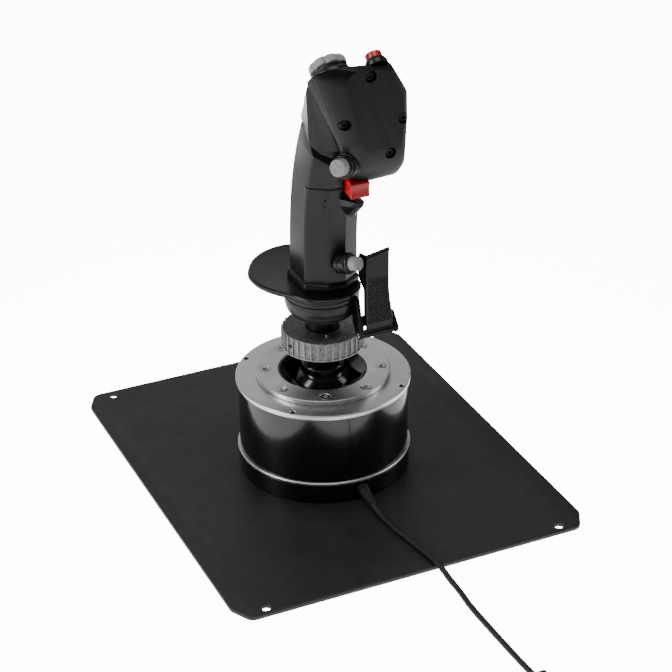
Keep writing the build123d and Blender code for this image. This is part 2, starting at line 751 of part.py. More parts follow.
with BuildPart() as control_pockets:
    with BuildSketch(RED_PLANE.offset(-POCKET)):
        Circle(RED_COLLAR_R)
    extrude(amount=12)
    with BuildSketch(TRIM_PLANE.offset(-POCKET)):
        Circle(TRIM_COLLAR_R)
    extrude(amount=12)
    for hat_plane, collar_r in HAT_COLLARS:
        with BuildSketch(hat_plane.offset(-POCKET)):
            Circle(collar_r)
        extrude(amount=12)
    with BuildSketch(SIDE_PLANE.offset(-2)):
        Circle(SIDE_COLLAR_R)
    extrude(amount=20)

# ---------------------------------------------------------------- handle

# (x, y) corners of the handle about its own centre line
HANDLE_OUTLINE = [
    (18.7, 6.2), (6, 15), (-6, 15), (-18.7, 6.2), (-18.7, -19), (-10, -31), (10, -31), (18.7, -19),
]
LEAN_START = 150.0
LEAN_LENGTH = 88.0
LEAN_Y = 8.0
LEAN_X = -2.8
PLINTH_TOP = 147.0
PANEL_TOP = 209.0
PANEL_BACK_Y = 5.8
HANDLE_END = Plane(origin=(0, 13.7, 243), x_dir=(1, 0, 0), z_dir=(0, 1.25, 1))


def handle_section(z, grow=0.0):
    """The handle's cross-section at z, as a sketch to loft through."""
    lean = max(0.0, (z - LEAN_START) / LEAN_LENGTH) ** 2.6
    with BuildSketch(Plane.XY.offset(z)) as section:
        with Locations((HANDLE_X + LEAN_X * lean, LEAN_Y * lean)):
            Polygon(*HANDLE_OUTLINE, align=None)
        fillet(section.vertices(), radius=4.0)
        if grow:
            offset(amount=grow)
    return section.sketch


with BuildPart() as handle_cavity:
    loft(sections=[handle_section(z, -3.0) for z in (REST_TOP + 3, 180, 212, 232)])

TRIGGER_X = -15.7
TRIGGER_W = 13.4
TRIGGER_PIVOT_Y = 16.0
TRIGGER_PIVOT_Z = 234.0
TRIGGER_PIN_R = 1.5
POCKET_W = 16.5
POCKET_DEPTH = 20.0
POCKET_TOP = 239.2

with BuildPart() as trigger_pocket:
    with BuildSketch(Plane.XY.offset(PANEL_TOP + 2.2)):
        with Locations((TRIGGER_X, TRIGGER_PIVOT_Y)):
            Rectangle(POCKET_W, POCKET_DEPTH)
    extrude(amount=POCKET_TOP - PANEL_TOP - 2.2)
    with BuildSketch(Plane.YZ.offset(TRIGGER_X - POCKET_W / 2 - 2)):
        with Locations((TRIGGER_PIVOT_Y, TRIGGER_PIVOT_Z)):
            Circle(TRIGGER_PIN_R)
    extrude(amount=POCKET_W + 4)

with BuildPart() as trigger_walls:
    with BuildSketch(Plane.XY.offset(PANEL_TOP)):
        with Locations((TRIGGER_X, TRIGGER_PIVOT_Y)):
            Rectangle(POCKET_W + 4, POCKET_DEPTH + 4)
    extrude(amount=POCKET_TOP - PANEL_TOP + 2)

with BuildPart() as handle_shell:
    loft(sections=[handle_section(z) for z in (REST_TOP, 180, 212, 236, 256)])
    split(bisect_by=thumb_plane(0, 0), keep=Keep.BOTTOM)
    split(bisect_by=HANDLE_END, keep=Keep.BOTTOM)
    with BuildSketch(Plane.XY.offset(REST_TOP)) as plinth:
        with Locations((HANDLE_X, 0)):
            Polygon(*HANDLE_OUTLINE, align=None)
        fillet(plinth.vertices(), radius=3.0)
        offset(amount=1.6)
    extrude(amount=PLINTH_TOP - REST_TOP - 1)
    add(handle_cavity.part, mode=Mode.SUBTRACT)
    with BuildSketch(Plane.XY.offset(REST_TOP)):
        Circle(NECK_BORE_R)
    extrude(amount=5, mode=Mode.SUBTRACT)
    with BuildSketch(Plane.XY.offset(PLINTH_TOP)):
        with Locations((HANDLE_X, PANEL_BACK_Y + 20)):
            Rectangle(60, 40)
    extrude(amount=PANEL_TOP - PLINTH_TOP, mode=Mode.SUBTRACT)
    add(shell_form.part, mode=Mode.SUBTRACT)
    add(cover_form.part, mode=Mode.SUBTRACT)
    add(trigger_pocket.part, mode=Mode.SUBTRACT)
    # the pocket opens through the left wall, which would be paper thin there
    with BuildSketch(Plane.XY.offset(PANEL_TOP + 2.2)):
        with Locations((TRIGGER_X - POCKET_W / 2, TRIGGER_PIVOT_Y)):
            Rectangle(6, POCKET_DEPTH)
    extrude(amount=POCKET_TOP - PANEL_TOP - 2.2, mode=Mode.SUBTRACT)
    add(control_pockets.part, mode=Mode.SUBTRACT)
handle_shell.part.label = "handle_shell"
export_step(handle_shell.part, "parts/handle_shell.step")

with BuildPart() as handle_front_panel:
    loft(sections=[handle_section(z, 0.8) for z in (PLINTH_TOP, 180, 212)])
    with BuildSketch(Plane.XY.offset(PLINTH_TOP)):
        with Locations((HANDLE_X, PANEL_BACK_Y + 20)):
            Rectangle(60, 40)
    extrude(amount=PANEL_TOP - PLINTH_TOP, mode=Mode.INTERSECT)
    with BuildSketch(Plane.YZ.offset(-21.5)):
        with BuildLine():
            Polyline((12, 194), (17, 195), (29.5, 207.5), (29.5, PANEL_TOP), (12, PANEL_TOP), close=True)
        make_face()
    extrude(amount=13)
    add(handle_cavity.part, mode=Mode.SUBTRACT)
handle_front_panel.part.label = "handle_front_panel"
export_step(handle_front_panel.part, "parts/handle_front_panel.step")

# ---------------------------------------------------------------- head

SCREW_RECESS_R = 3.9
SCREW_HEAD_R = 3.4
SCREW_HEAD_T = 2.2
SCREW_SHANK_R = 1.45
BOSS_R = 5.2
BOSS_WEB_H = 16.0
BOSS_SEAT_Y = 25.0

# x and z of each cover screw, the depth its head sits at, and the depth its tip reaches
HEAD_SCREWS = [
    (-21.4, 295.9, 29.3, 24.2),
    (-4.3, 265.2, 26.4, 13.0),
    (-44.4, 263.9, 29.3, 15.0),
    (-35.4, 241.3, 28.6, 13.0),
]

with BuildPart() as shell_cavity:
    loft(
        sections=[
            head_section(HEAD_REAR_Y + WALL, REAR_OUTLINE, WALL, 5.0),
            head_section(SHOULDER_Y, SHOULDER_OUTLINE, WALL, 5.0),
            head_section(PARTING_Y + 1, PARTING_OUTLINE, WALL, 5.0),
        ],
        ruled=True,
    )
    split(bisect_by=thumb_plane(0, 0, -WALL), keep=Keep.BOTTOM)
    split(bisect_by=UNDERCUT.offset(-WALL), keep=Keep.BOTTOM)

with BuildPart() as cover_cavity:
    loft(
        sections=[
            head_section(PARTING_Y, PARTING_OUTLINE, WALL, 5.0),
            head_section(MIDDLE_Y - 2, MIDDLE_OUTLINE, WALL, 5.0),
            head_section(FRONT_Y - WALL, FRONT_OUTLINE, WALL, 5.0),
        ]
    )
    split(bisect_by=thumb_plane(0, 0, -WALL), keep=Keep.BOTTOM)

with BuildPart() as shell_bosses:
    for x, z, _, _ in HEAD_SCREWS:
        with BuildSketch(Plane.XZ.offset(-HEAD_REAR_Y - 1)):
            with Locations((x, z)):
                Circle(BOSS_R)
            with Locations((x, z - BOSS_WEB_H / 2)):
                Rectangle(2 * BOSS_R, BOSS_WEB_H)
        extrude(amount=HEAD_REAR_Y + 1 - BOSS_SEAT_Y)

with BuildPart() as cover_bosses:
    for x, z, _, _ in HEAD_SCREWS:
        with BuildSketch(Plane.XZ.offset(-BOSS_SEAT_Y)):
            with Locations((x, z)):
                Circle(BOSS_R)
        extrude(amount=BOSS_SEAT_Y - FRONT_Y)

with BuildPart() as screw_recesses:
    for x, z, seat_y, tip_y in HEAD_SCREWS:
        with BuildSketch(Plane.XZ.offset(-seat_y)):
            with Locations((x, z)):
                Circle(SCREW_RECESS_R)
        extrude(amount=-8)
        with BuildSketch(Plane.XZ.offset(-tip_y + 0.5)):
            with Locations((x, z)):
                Circle(SCREW_SHANK_R)
        extrude(amount=tip_y - 0.5 - seat_y)

with BuildPart() as head_shell:
    add(shell_form.part)
    add(shell_cavity.part, mode=Mode.SUBTRACT)
    add(shell_form.part & shell_bosses.part)
    add(cover_cavity.part & shell_bosses.part)
    add(shell_form.part & trigger_walls.part)
    add(screw_recesses.part, mode=Mode.SUBTRACT)
    add(control_pockets.part, mode=Mode.SUBTRACT)
    add(trigger_pocket.part, mode=Mode.SUBTRACT)
    for sliver in head_shell.solids().sort_by(SortBy.VOLUME)[:-1]:
        add(sliver, mode=Mode.SUBTRACT)
head_shell.part.label = "head_shell"
export_step(head_shell.part, "parts/head_shell.step")

with BuildPart() as head_cover:
    add(cover_form.part)
    add(cover_cavity.part, mode=Mode.SUBTRACT)
    add(cover_form.part & cover_bosses.part)
    add(cover_form.part & trigger_walls.part)
    add(screw_recesses.part, mode=Mode.SUBTRACT)
    add(control_pockets.part, mode=Mode.SUBTRACT)
    add(trigger_pocket.part, mode=Mode.SUBTRACT)
    add(head_shell.part, mode=Mode.SUBTRACT)
    for sliver in head_cover.solids().sort_by(SortBy.VOLUME)[:-1]:
        add(sliver, mode=Mode.SUBTRACT)
head_cover.part.label = "head_cover"
export_step(head_cover.part, "parts/head_cover.step")

with BuildPart() as cover_screws:
    for x, z, seat_y, tip_y in HEAD_SCREWS:
        with BuildSketch(Plane.XZ.offset(-seat_y)):
            with Locations((x, z)):
                Circle(SCREW_HEAD_R)
        extrude(amount=-SCREW_HEAD_T)
        with BuildSketch(Plane.XZ.offset(-tip_y)):
            with Locations((x, z)):
                Circle(SCREW_SHANK_R)
        extrude(amount=tip_y - seat_y)
        with BuildSketch(Plane.XZ.offset(-seat_y - SCREW_HEAD_T)):
            with Locations((x, z)):
                RegularPolygon(1.5, 6)
        extrude(amount=SCREW_HEAD_T - 0.7, mode=Mode.SUBTRACT)
cover_screws.part.label = "cover_screws"
export_step(cover_screws.part, "parts/cover_screws.step")

GRIP_BOARD_Y = 1.0
GRIP_BOARD_X = -20.0
GRIP_BOARD_Z = 252.0
BOARD_POST_Y = HEAD_REAR_Y + 1.5

with BuildPart() as grip_board:
    with BuildSketch(Plane.XZ.offset(-BOARD_POST_Y)):
        with Locations((GRIP_BOARD_X, GRIP_BOARD_Z)):
            with GridLocations(14, 0, 2, 1):
                Circle(2)
    extrude(amount=BOARD_POST_Y - GRIP_BOARD_Y)
    with BuildSketch(Plane.XZ.offset(-GRIP_BOARD_Y)):
        with Locations((GRIP_BOARD_X, GRIP_BOARD_Z)):
            Rectangle(20, 14)
    extrude(amount=-1.6)
    with BuildSketch(Plane.XZ.offset(-GRIP_BOARD_Y - 1.6)):
        with Locations((GRIP_BOARD_X, GRIP_BOARD_Z)):
            Rectangle(10, 7)
    extrude(amount=-1.5)
    add(head_shell.part, mode=Mode.SUBTRACT)
grip_board.part.label = "grip_board"
export_step(grip_board.part, "parts/grip_board.step")

# ---------------------------------------------------------------- trigger

with BuildPart() as trigger:
    with BuildSketch(Plane.YZ.offset(TRIGGER_X - TRIGGER_W / 2)):
        with BuildLine():
            Line((10.5, 225.5), (10.5, 215.5))
            Line((10.5, 215.5), (29, 213.4))
            RadiusArc((29, 213.4), (29.4, 223.8), 16)
            Polyline((29.4, 223.8), (25, 225.5), (10.5, 225.5))
        make_face()
    extrude(amount=TRIGGER_W)
    fillet(trigger.edges(), radius=0.7)
    with BuildSketch(Plane.YZ.offset(TRIGGER_X - 4)):
        with Locations((TRIGGER_PIVOT_Y, TRIGGER_PIVOT_Z)):
            Circle(3.4)
        with Locations((TRIGGER_PIVOT_Y, TRIGGER_PIVOT_Z - 5)):
            Rectangle(6.8, 10)
    extrude(amount=8)
    with BuildSketch(Plane.YZ.offset(TRIGGER_X - 8)):
        with Locations((TRIGGER_PIVOT_Y, TRIGGER_PIVOT_Z)):
            Circle(TRIGGER_PIN_R + RUNNING_FIT)
    extrude(amount=16, mode=Mode.SUBTRACT)
trigger.part.label = "trigger"
export_step(trigger.part, "parts/trigger.step")

with BuildPart() as trigger_pin:
    with BuildSketch(Plane.YZ.offset(TRIGGER_X - POCKET_W / 2 - 1.8)):
        with Locations((TRIGGER_PIVOT_Y, TRIGGER_PIVOT_Z)):
            Circle(TRIGGER_PIN_R)
    extrude(amount=POCKET_W + 3.6)
trigger_pin.part.label = "trigger_pin"
export_step(trigger_pin.part, "parts/trigger_pin.step")

# ---------------------------------------------------------------- push buttons

RED_CAP_R = 5.5
RED_CAP_FOOT = 2.5
RED_CAP_TOP = 8.5
SIDE_CAP_R = 5.7
LOWER_CAP_R = 4.8
BARREL_FOOT = 3.5
BARREL_BORE_FLOOR = 1.5


def push_cap(plane, radius, foot, top):
    """A round button cap between two heights above plane, with a rounded outer edge."""
    with BuildPart() as cap:
        with BuildSketch(plane.offset(foot)):
            Circle(radius)
        extrude(amount=top - foot)
        rims = cap.edges().filter_by(GeomType.CIRCLE)
        fillet(rims.sort_by_distance(plane.offset(top + 20).origin)[:1], radius=0.6)
    return cap


with BuildPart() as red_button_collar:
    with BuildSketch(RED_PLANE.offset(-POCKET)):
        Circle(RED_COLLAR_R)
    extrude(amount=POCKET + 1.5)
    with BuildSketch(RED_PLANE.offset(1.5)):
        Circle(RED_COLLAR_R)
    extrude(amount=2.5, taper=25)
    with BuildSketch(RED_PLANE.offset(0.5)):
        Circle(RED_CAP_R + 0.1)
    extrude(amount=4, mode=Mode.SUBTRACT)
red_button_collar.part.label = "red_button_collar"
export_step(red_button_collar.part, "parts/red_button_collar.step")

red_button = push_cap(RED_PLANE, RED_CAP_R, RED_CAP_FOOT, RED_CAP_TOP)
red_button.part.label = "red_button"
export_step(red_button.part, "parts/red_button.step")

with BuildPart() as side_button_collar:
    with BuildSketch(SIDE_PLANE.offset(-2)):
        Circle(SIDE_COLLAR_R)
    extrude(amount=7)
    with BuildSketch(SIDE_PLANE.offset(5)):
        Circle(SIDE_COLLAR_R - 1.0)
    extrude(amount=2.6)
    with BuildSketch(SIDE_PLANE.offset(BARREL_BORE_FLOOR)):
        Circle(SIDE_CAP_R + 0.1)
    extrude(amount=10, mode=Mode.SUBTRACT)
    add(trigger_pocket.part, mode=Mode.SUBTRACT)
    add(trigger_pin.part, mode=Mode.SUBTRACT)
side_button_collar.part.label = "side_button_collar"
export_step(side_button_collar.part, "parts/side_button_collar.step")

side_button = push_cap(SIDE_PLANE, SIDE_CAP_R, BARREL_FOOT, BARREL_L)
side_button.part.label = "side_button"
export_step(side_button.part, "parts/side_button.step")

with BuildPart() as lower_button_boss:
    with BuildSketch(LOWER_PLANE.offset(-3)):
        Circle(LOWER_COLLAR_R)
    extrude(amount=9)
    with BuildSketch(LOWER_PLANE.offset(6)):
        Circle(LOWER_COLLAR_R - 0.9)
    extrude(amount=1.8)
    with BuildSketch(LOWER_PLANE.offset(BARREL_BORE_FLOOR)):
        Circle(LOWER_CAP_R + 0.1)
    extrude(amount=10, mode=Mode.SUBTRACT)
    add(handle_front_panel.part, mode=Mode.SUBTRACT)
    add(handle_cavity.part, mode=Mode.SUBTRACT)
lower_button_boss.part.label = "lower_button_boss"
export_step(lower_button_boss.part, "parts/lower_button_boss.step")

lower_button = push_cap(LOWER_PLANE, LOWER_CAP_R, BARREL_FOOT, BARREL_L)
lower_button.part.label = "lower_button"
export_step(lower_button.part, "parts/lower_button.step")

# ---------------------------------------------------------------- hats

BALL_R = 2.2
HAT_PIVOT = 2.6
COLLAR_TOP = 3.0
SEAT_TOP = 1.6
SEAT_R = 2.4
TRIM_BALL_R = 4.0
TRIM_PIVOT = 3.6
TRIM_SEAT_TOP = 2.0
TRIM_SEAT_R = 4.2


def ball_seat(plane, well_r, seat_r, seat_top, pivot, ball_r):
    """The round well of a hat collar, with the seat its ball turns in, as a tool to cut with."""
    with BuildPart() as well:
        with BuildSketch(plane.offset(0.4)):
            Circle(well_r)
            Circle(seat_r, mode=Mode.SUBTRACT)
        extrude(amount=seat_top - 0.4)
        with BuildSketch(plane.offset(seat_top)):
            Circle(well_r)
        extrude(amount=8)
        with Locations(plane.offset(pivot)):
            Sphere(ball_r + RUNNING_FIT)
    return well


with BuildPart() as hat_collars:
    for hat_plane, collar_r in HAT_COLLARS:
        with BuildSketch(hat_plane.offset(-POCKET)):
            Circle(collar_r)
        extrude(amount=POCKET + COLLAR_TOP)
        well = ball_seat(hat_plane, collar_r - 1.3, SEAT_R, SEAT_TOP, HAT_PIVOT, BALL_R)
        add(well.part, mode=Mode.SUBTRACT)
hat_collars.part.label = "hat_collars"
export_step(hat_collars.part, "parts/hat_collars.step")

with BuildPart() as trim_hat_collar:
    with BuildSketch(TRIM_PLANE.offset(-POCKET)):
        Circle(TRIM_COLLAR_R)
    extrude(amount=POCKET + 2)
    with BuildSketch(TRIM_PLANE.offset(2)):
        Circle(TRIM_COLLAR_R)
    extrude(amount=4, taper=32)
    well = ball_seat(TRIM_PLANE, 8.2, TRIM_SEAT_R, TRIM_SEAT_TOP, TRIM_PIVOT, TRIM_BALL_R)
    add(well.part, mode=Mode.SUBTRACT)
trim_hat_collar.part.label = "trim_hat_collar"
export_step(trim_hat_collar.part, "parts/trim_hat_collar.step")


def rocker_ball(plane, height, radius):
    """The ball that a hat tilts on, with its centre at height above plane."""
    with BuildPart() as ball:
        with Locations(plane.offset(height)):
            Sphere(radius)
    return ball


trim_hat_rocker = rocker_ball(TRIM_PLANE, TRIM_PIVOT, TRIM_BALL_R)
trim_hat_rocker.part.label = "trim_hat_rocker"
export_step(trim_hat_rocker.part, "parts/trim_hat_rocker.step")

right_hat_rocker = rocker_ball(RIGHT_HAT_PLANE, HAT_PIVOT, BALL_R)
right_hat_rocker.part.label = "right_hat_rocker"
export_step(right_hat_rocker.part, "parts/right_hat_rocker.step")

left_hat_rocker = rocker_ball(LEFT_HAT_PLANE, HAT_PIVOT, BALL_R)
left_hat_rocker.part.label = "left_hat_rocker"
export_step(left_hat_rocker.part, "parts/left_hat_rocker.step")

side_hat_rocker = rocker_ball(SIDE_HAT_PLANE, HAT_PIVOT, BALL_R)
side_hat_rocker.part.label = "side_hat_rocker"
export_step(side_hat_rocker.part, "parts/side_hat_rocker.step")

with BuildPart() as trim_hat:
    with BuildSketch(TRIM_PLANE.offset(TRIM_PIVOT + 0.8)):
        Circle(6)
    extrude(amount=5.2)
    with BuildSketch(TRIM_PLANE.offset(8.6)):
        Circle(8.5)
    extrude(amount=2.8, taper=-42)
    with BuildSketch(TRIM_PLANE.offset(10.8)):
        Circle(12.6)
        with PolarLocations(14.2, 8, start_angle=22.5):
            Circle(3.0, mode=Mode.SUBTRACT)
    extrude(amount=2.8, taper=14)
    with BuildSketch(TRIM_PLANE.offset(13.6)):
        Circle(5.0)
    extrude(amount=-1.0, mode=Mode.SUBTRACT)
    with Locations(TRIM_PLANE.offset(TRIM_PIVOT)):
        Sphere(TRIM_BALL_R + RUNNING_FIT, mode=Mode.SUBTRACT)
trim_hat.part.label = "trim_hat"
export_step(trim_hat.part, "parts/trim_hat.step")


def small_hat(plane, lobes, cap_r):
    """A hat cap standing on plane, with a notched head to push with the thumb."""
    with BuildPart() as cap:
        with BuildSketch(plane.offset(HAT_PIVOT + 0.6)):
            Circle(2.9)
        extrude(amount=2.4)
        with BuildSketch(plane.offset(5.2)):
            Circle(cap_r)
            with PolarLocations(cap_r + 0.5, lobes, start_angle=45):
                Circle(1.2, mode=Mode.SUBTRACT)
        extrude(amount=3.6, taper=6)
        with BuildSketch(plane.offset(8.8)):
            Circle(cap_r * 0.45)
        extrude(amount=-0.8, mode=Mode.SUBTRACT)
        with Locations(plane.offset(HAT_PIVOT)):
            Sphere(BALL_R + RUNNING_FIT, mode=Mode.SUBTRACT)
    return cap


right_hat = small_hat(RIGHT_HAT_PLANE, 4, 4.6)
right_hat.part.label = "right_hat"
export_step(right_hat.part, "parts/right_hat.step")

left_hat = small_hat(LEFT_HAT_PLANE, 4, 5.4)
left_hat.part.label = "left_hat"
export_step(left_hat.part, "parts/left_hat.step")

side_hat = small_hat(SIDE_HAT_PLANE, 8, 5.6)
side_hat.part.label = "side_hat"
export_step(side_hat.part, "parts/side_hat.step")

# ---------------------------------------------------------------- electronics

SENSOR_STALK_H = 12.0
BOARD_T = 1.6

with BuildPart() as sensor_board:
    with BuildSketch(Plane.XY.offset(FLOOR_TOP)):
        Circle(3.2)
    extrude(amount=SENSOR_STALK_H)
    with BuildSketch(Plane.XY.offset(FLOOR_TOP + SENSOR_STALK_H)):
        Circle(4.4)
    extrude(amount=BOARD_T)
    with BuildSketch(Plane.XY.offset(FLOOR_TOP + SENSOR_STALK_H + BOARD_T)):
        Rectangle(3, 3)
    extrude(amount=1.0)
sensor_board.part.label = "sensor_board"
export_step(sensor_board.part, "parts/sensor_board.step")

CONTROLLER_X = -28.0

with BuildPart() as controller_board:
    with BuildSketch(Plane.XY.offset(FLOOR_TOP)):
        with Locations((CONTROLLER_X, 0)):
            with GridLocations(18, 26, 2, 2):
                Circle(1.8)
    extrude(amount=4)
    with BuildSketch(Plane.XY.offset(FLOOR_TOP + 4)):
        with Locations((CONTROLLER_X, 0)):
            Rectangle(24, 32)
    extrude(amount=BOARD_T)
    with BuildSketch(Plane.XY.offset(FLOOR_TOP + 4 + BOARD_T)):
        with Locations((CONTROLLER_X, 3)):
            Rectangle(9, 9)
        with Locations((CONTROLLER_X, -11)):
            Rectangle(12, 5)
    extrude(amount=2.2)
controller_board.part.label = "controller_board"
export_step(controller_board.part, "parts/controller_board.step")

# ---------------------------------------------------------------- cable

CABLE_R = 2.0
RELIEF_START_Y = 61.0
RELIEF_END_Y = 76.0
RELIEF_GAP = 0.05
PLUG_Y = 278.0
PLUG_X = -12.0
ON_PLATE = PLATE_T + CABLE_R
ON_FLOOR = CABLE_R

with BuildPart() as strain_relief:
    with BuildSketch(Plane.XZ.offset(-BORE_R + 1)):
        with Locations((CABLE_X, CABLE_EXIT_Z)):
            Circle(RELIEF_R)
    extrude(amount=BORE_R - 1 - RELIEF_START_Y)
    with BuildLine():
        relief_line = Line((CABLE_X, RELIEF_START_Y, CABLE_EXIT_Z), (CABLE_X, RELIEF_END_Y, 7.0))
    with BuildSketch(Plane(origin=relief_line @ 0, z_dir=relief_line % 0)):
        Circle(4.2)
    with BuildSketch(Plane(origin=relief_line @ 1, z_dir=relief_line % 0)):
        Circle(3.0)
    loft()
    for groove in range(5):
        along = 0.14 + 0.16 * groove
        with BuildSketch(Plane(origin=relief_line @ along, z_dir=relief_line % 0)):
            Circle(6)
            Circle(3.4 - 1.0 * along, mode=Mode.SUBTRACT)
        extrude(amount=1.1, mode=Mode.SUBTRACT)

    with BuildSketch(Plane(origin=relief_line @ 0, z_dir=relief_line % 0)):
        Circle(CABLE_R + RELIEF_GAP)
    extrude(amount=relief_line.length + 1, mode=Mode.SUBTRACT)
strain_relief.part.label = "strain_relief"
export_step(strain_relief.part, "parts/strain_relief.step")

with BuildPart() as usb_cable:
    with BuildLine():
        Line(relief_line @ 0, relief_line @ 1)
        Spline(
            relief_line @ 1,
            (-4.2, 104, ON_PLATE + 0.2),
            (-10.6, 143, ON_PLATE + 0.5),
            (-11.4, PLATE_Y / 2 + 4, ON_PLATE + 0.9),
            (-12.3, 181, ON_FLOOR),
            (-11, 204, ON_FLOOR),
            (-11.9, 255, ON_FLOOR),
            (PLUG_X, PLUG_Y, 3.6),
            tangents=(relief_line % 1, (0, 1, 0)),
        )
    with BuildSketch(Plane(origin=relief_line @ 0, z_dir=relief_line % 0)):
        Circle(CABLE_R)
    sweep()
usb_cable.part.label = "usb_cable"
export_step(usb_cable.part, "parts/usb_cable.step")

with BuildPart() as usb_plug:
    with BuildSketch(Plane.XZ.offset(-PLUG_Y)):
        with Locations((PLUG_X, 3.9)):
            RectangleRounded(14, 7.8, 2)
    extrude(amount=-26)
    with BuildSketch(Plane.XZ.offset(-PLUG_Y - 26)):
        with Locations((PLUG_X, 3.9)):
            Rectangle(12, 4.5)
            Rectangle(11.2, 3.7, mode=Mode.SUBTRACT)
    extrude(amount=-11.75)
usb_plug.part.label = "usb_plug"
export_step(usb_plug.part, "parts/usb_plug.step")
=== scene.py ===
"""Flight joystick: the looks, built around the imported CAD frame.

Lengths are written in millimetres and turned into metres when a mesh is made. +Z is up,
+Y points forward (away from the user) and +X to the user's right, as in the CAD model.
"""

import json
import math

import bmesh
import bpy
from mathutils import Matrix, Vector

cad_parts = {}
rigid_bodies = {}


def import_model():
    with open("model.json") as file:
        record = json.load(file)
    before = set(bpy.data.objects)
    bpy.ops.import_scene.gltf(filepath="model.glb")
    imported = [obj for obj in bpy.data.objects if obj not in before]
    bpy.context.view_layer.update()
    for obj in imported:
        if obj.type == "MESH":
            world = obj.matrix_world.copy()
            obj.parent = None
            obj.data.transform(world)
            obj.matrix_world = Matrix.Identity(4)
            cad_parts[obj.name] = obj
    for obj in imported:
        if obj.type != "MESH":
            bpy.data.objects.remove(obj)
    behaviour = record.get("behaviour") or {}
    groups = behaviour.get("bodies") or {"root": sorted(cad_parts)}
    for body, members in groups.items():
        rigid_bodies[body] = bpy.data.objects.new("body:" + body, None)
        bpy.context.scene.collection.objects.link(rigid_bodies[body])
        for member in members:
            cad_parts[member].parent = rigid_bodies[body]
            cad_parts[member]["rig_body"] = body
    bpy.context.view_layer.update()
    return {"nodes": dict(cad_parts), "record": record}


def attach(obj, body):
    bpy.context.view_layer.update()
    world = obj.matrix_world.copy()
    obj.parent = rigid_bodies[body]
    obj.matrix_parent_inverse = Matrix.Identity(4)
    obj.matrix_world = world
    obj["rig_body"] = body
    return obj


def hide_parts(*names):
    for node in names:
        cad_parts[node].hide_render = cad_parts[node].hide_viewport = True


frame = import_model()

MM = 0.001
TURN = 2 * math.pi

# ---------------------------------------------------------------- materials


def new_material(name, color, metallic=0.0, roughness=0.5, coat=0.0):
    """A material and the shader node that its details are wired into."""
    material = bpy.data.materials.new(name)
    material.use_nodes = True
    shader = material.node_tree.nodes["Principled BSDF"]
    shader.inputs["Base Color"].default_value = (*color, 1)
    shader.inputs["Metallic"].default_value = metallic
    shader.inputs["Roughness"].default_value = roughness
    shader.inputs["Coat Weight"].default_value = coat
    shader.inputs["Coat Roughness"].default_value = 0.06
    return material, shader


def node(material, kind, **values):
    """Adds a shader node; values set its inputs by name, or its settings if it has no such input."""
    made = material.node_tree.nodes.new(kind)
    for key, value in values.items():
        label = key.replace("_", " ").title()
        if label in made.inputs:
            made.inputs[label].default_value = value
        else:
            setattr(made, key, value)
    return made


def wire(material, source, target):
    material.node_tree.links.new(source, target)


def object_point(material, stretch=(1, 1, 1)):
    """Object-space position in metres, stretched."""
    where = node(material, "ShaderNodeTexCoord")
    mapping = node(material, "ShaderNodeMapping")
    mapping.inputs["Scale"].default_value = stretch
    wire(material, where.outputs["Object"], mapping.inputs["Vector"])
    return mapping.outputs["Vector"]


def add_grain(material, shader, size_mm, depth_mm, detail=4.0, stretch=(1, 1, 1)):
    """Fine raised grain over the whole surface."""
    noise = node(material, "ShaderNodeTexNoise", scale=1000 / size_mm, detail=detail, roughness=0.6)
    bump = node(material, "ShaderNodeBump", strength=1.0, distance=depth_mm * MM)
    wire(material, object_point(material, stretch), noise.inputs["Vector"])
    wire(material, noise.outputs["Fac"], bump.inputs["Height"])
    wire(material, bump.outputs["Normal"], shader.inputs["Normal"])
    return noise


def vary_roughness(material, shader, low, high, size_mm):
    """Handling marks: roughness that drifts between low and high."""
    noise = node(material, "ShaderNodeTexNoise", scale=1000 / size_mm, detail=6.0, roughness=0.65)
    spread = node(material, "ShaderNodeMapRange")
    spread.inputs["From Min"].default_value = 0.3
    spread.inputs["From Max"].default_value = 0.7
    spread.inputs["To Min"].default_value = low
    spread.inputs["To Max"].default_value = high
    wire(material, object_point(material), noise.inputs["Vector"])
    wire(material, noise.outputs["Fac"], spread.inputs["Value"])
    wire(material, spread.outputs["Result"], shader.inputs["Roughness"])


def vary_color(material, shader, dark, light, size_mm):
    """Slight mottling between two colours."""
    noise = node(material, "ShaderNodeTexNoise", scale=1000 / size_mm, detail=5.0, roughness=0.6)
    ramp = node(material, "ShaderNodeValToRGB")
    ramp.color_ramp.elements[0].position = 0.32
    ramp.color_ramp.elements[0].color = (*dark, 1)
    ramp.color_ramp.elements[1].position = 0.68
    ramp.color_ramp.elements[1].color = (*light, 1)
    wire(material, object_point(material), noise.inputs["Vector"])
    wire(material, noise.outputs["Fac"], ramp.inputs["Fac"])
    return ramp.outputs["Color"]


def wear_edges(material, shader, body_color, worn_color, reach_mm):
    """Paler, rubbed edges, found by comparing the true normal with a rounded one."""
    bevel = node(material, "ShaderNodeBevel", samples=4, radius=reach_mm * MM)
    geometry = node(material, "ShaderNodeNewGeometry")
    dot = node(material, "ShaderNodeVectorMath", operation="DOT_PRODUCT")
    rub = node(material, "ShaderNodeMapRange")
    rub.inputs["From Min"].default_value = 0.995
    rub.inputs["From Max"].default_value = 0.86
    mix = node(material, "ShaderNodeMix", data_type="RGBA")
    wire(material, bevel.outputs["Normal"], dot.inputs[0])
    wire(material, geometry.outputs["Normal"], dot.inputs[1])
    wire(material, dot.outputs["Value"], rub.inputs["Value"])
    wire(material, rub.outputs["Result"], mix.inputs[0])
    wire(material, body_color, mix.inputs[6])
    mix.inputs[7].default_value = (*worn_color, 1)
    wire(material, mix.outputs[2], shader.inputs["Base Color"])


